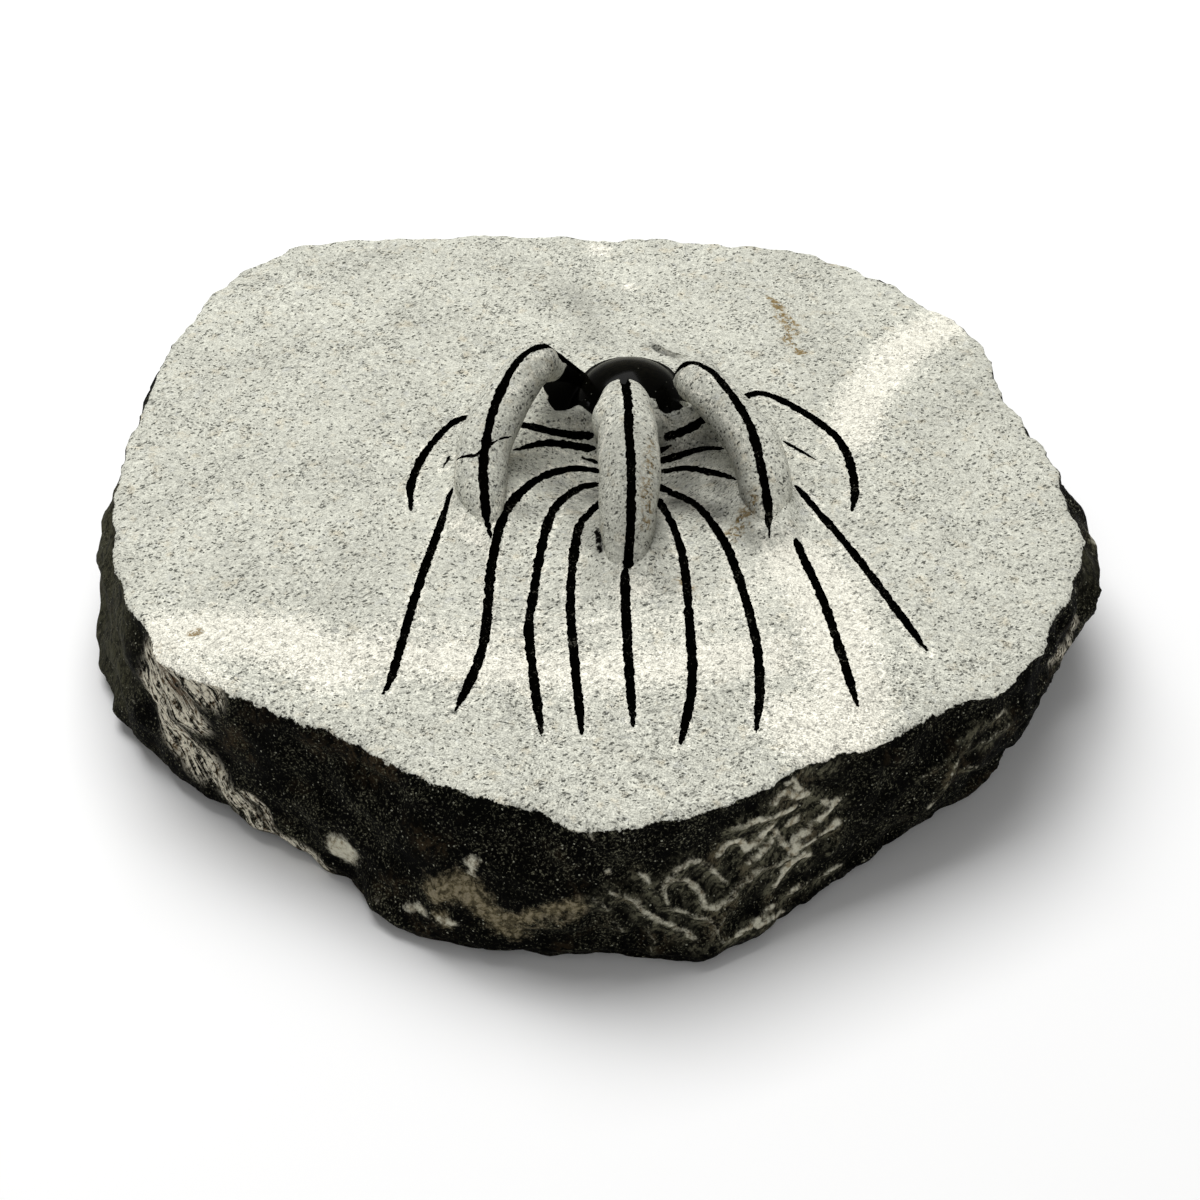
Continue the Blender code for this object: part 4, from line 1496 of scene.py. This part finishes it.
        # Painted light: the lit scallops are laid a little below the chip ridges.
        ridge_lights = tuple(replace(mark, spread=self.ridge_light_spread * mark.spread) for mark in chips)
        values = {
            Trace.RIM: slab.rim(points),
            Trace.PAINTED_SUN_AND_SCUFFS: np.maximum(lay_all(SUN_PATCHES_AND_PALE_SPOTS, points), self.scuffs(points)),
            Trace.RUST: lay_all(RUST_STAINS, points),
            Trace.BRUISE_AND_HIGHLIGHT: lay_all(chips + BRUISES, points, 1.7),
            Trace.RIDGE_LIGHT: lay_all(ridge_lights, points + self.ridge_light_offset, 3.0),
            Trace.CLAY: lay_all(CLOUDS, points, 2.0),
            Trace.STRAND: lay_all(STRANDS, points),
            Trace.WORN_AND_SHEEN: lay_all(WORN_FACES_AND_BALL_SHEEN, points),
            Trace.BLACK_POLISH_AND_SHADE: self.ball.polish(points),
            Trace.PAINTED_SHADE: np.minimum(0.2 * depth * near + lay_all(SHADE_MARKS, points), 0.9),
        }
        for trace, rows in values.items():
            layer = mesh.attributes.new(trace.value, "FLOAT", "POINT")
            layer.data.foreach_set("value", np.asarray(rows, dtype=np.float32))

    def build(self) -> bpy.types.Object:
        """Build, carve and dress the stone.

        Returns:
            The stone as one mesh object at the origin.
        """
        rock, black = StoneFinish().dress(), CutGroove().dress()
        slab = Slab(self.claws)
        stone = slab.build(rock)
        LOG.info("slab: %d faces", len(stone.data.polygons))
        sweep = claw_tree()
        for claw in self.claws:
            self.carve(stone, claw.build(sweep, rock), Way.ADD)
        self.carve(stone, self.ball.build(rock), Way.ADD)
        LOG.info("with claws and ball: %d faces", len(stone.data.polygons))
        cutter = groove_tree()
        for groove in self.grooves(slab):
            self.carve(stone, groove.build(cutter, rock if groove.bare else black), Way.CUT)
        LOG.info("with grooves: %d faces", len(stone.data.polygons))
        stone.name = "stone"
        stone.data.shade_smooth()
        stone.data.set_sharp_from_angle(angle=math.radians(self.crease_angle))
        self.mark(stone, slab)
        return stone


@dataclass
class Studio:
    """A pale floor, soft light and the camera."""

    look_at: Size = (0.004, -0.031, 0.045)
    distance: float = 1.4
    elevation: float = 40.0
    lens: float = 84.4
    floor_colour: Colour = shade(247, 247, 247)
    floor_half: float = 8.0
    lamps: tuple[tuple[str, Size, float, float], ...] = (
        ("overhead", (-0.35, 0.8, 2.3), 1.9, 64.0), ("front_fill", (0.4, -2.0, 1.3), 1.6, 5.0))
    sky: Colour = (1.0, 1.0, 0.99, 1.0)
    sky_strength: float = 0.29

    def floor(self) -> None:
        """Lay a wide floor."""
        half = self.floor_half
        mesh = bpy.data.meshes.new("floor")
        mesh.from_pydata([(-half, -half, 0), (half, -half, 0), (half, half, 0), (-half, half, 0)], [],
                         [(0, 1, 2, 3)])
        material = bpy.data.materials.new("floor")
        material.use_nodes = True
        shader = material.node_tree.nodes["Principled BSDF"]
        shader.inputs["Base Color"].default_value = self.floor_colour
        shader.inputs["Roughness"].default_value = 0.9
        mesh.materials.append(material)
        item = bpy.data.objects.new("floor", mesh)
        bpy.context.collection.objects.link(item)

    def light(self, name: str, spot: Size, size: float, power: float) -> None:
        """Hang a square soft light that faces the stone.

        Args:
            name: the light's name.
            spot: its place in metres.
            size: its side in metres.
            power: its power in watts.
        """
        lamp = bpy.data.lights.new(name, "AREA")
        lamp.size = size
        lamp.energy = power
        item = bpy.data.objects.new(name, lamp)
        item.location = spot
        item.rotation_euler = (Vector(self.look_at) - Vector(spot)).to_track_quat("-Z", "Y").to_euler()
        bpy.context.collection.objects.link(item)

    def camera(self) -> None:
        """Stand the camera in front of the stone, looking down at it."""
        tilt = math.radians(self.elevation)
        data = bpy.data.cameras.new("camera")
        data.lens = self.lens
        data.sensor_width = 36.0
        data.clip_end = 50.0
        item = bpy.data.objects.new("camera", data)
        away = Vector((0.0, -math.cos(tilt), math.sin(tilt)))
        item.location = Vector(self.look_at) + away * self.distance
        item.rotation_euler = (-away).to_track_quat("-Z", "Y").to_euler()
        bpy.context.collection.objects.link(item)
        bpy.context.scene.camera = item

    def build(self) -> None:
        """Set the floor, lights, world and camera."""
        self.floor()
        for lamp in self.lamps:
            self.light(*lamp)
        world = bpy.data.worlds.new("studio")
        world.use_nodes = True
        sky = world.node_tree.nodes["Background"]
        sky.inputs["Color"].default_value = self.sky
        sky.inputs["Strength"].default_value = self.sky_strength
        bpy.context.scene.world = world
        bpy.context.scene.view_settings.view_transform = "Standard"
        self.camera()


def main() -> None:
    """Build the studio and the stone, and note the sizes before and after."""
    logging.basicConfig(level=logging.INFO, format="%(name)s: %(message)s")
    Studio().build()
    stone = Sculpture().build()
    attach(stone, "root")
    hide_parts("carved_stone")
    LOG.info("stone: %d points", len(stone.data.vertices))


if __name__ == "__main__":
    main()
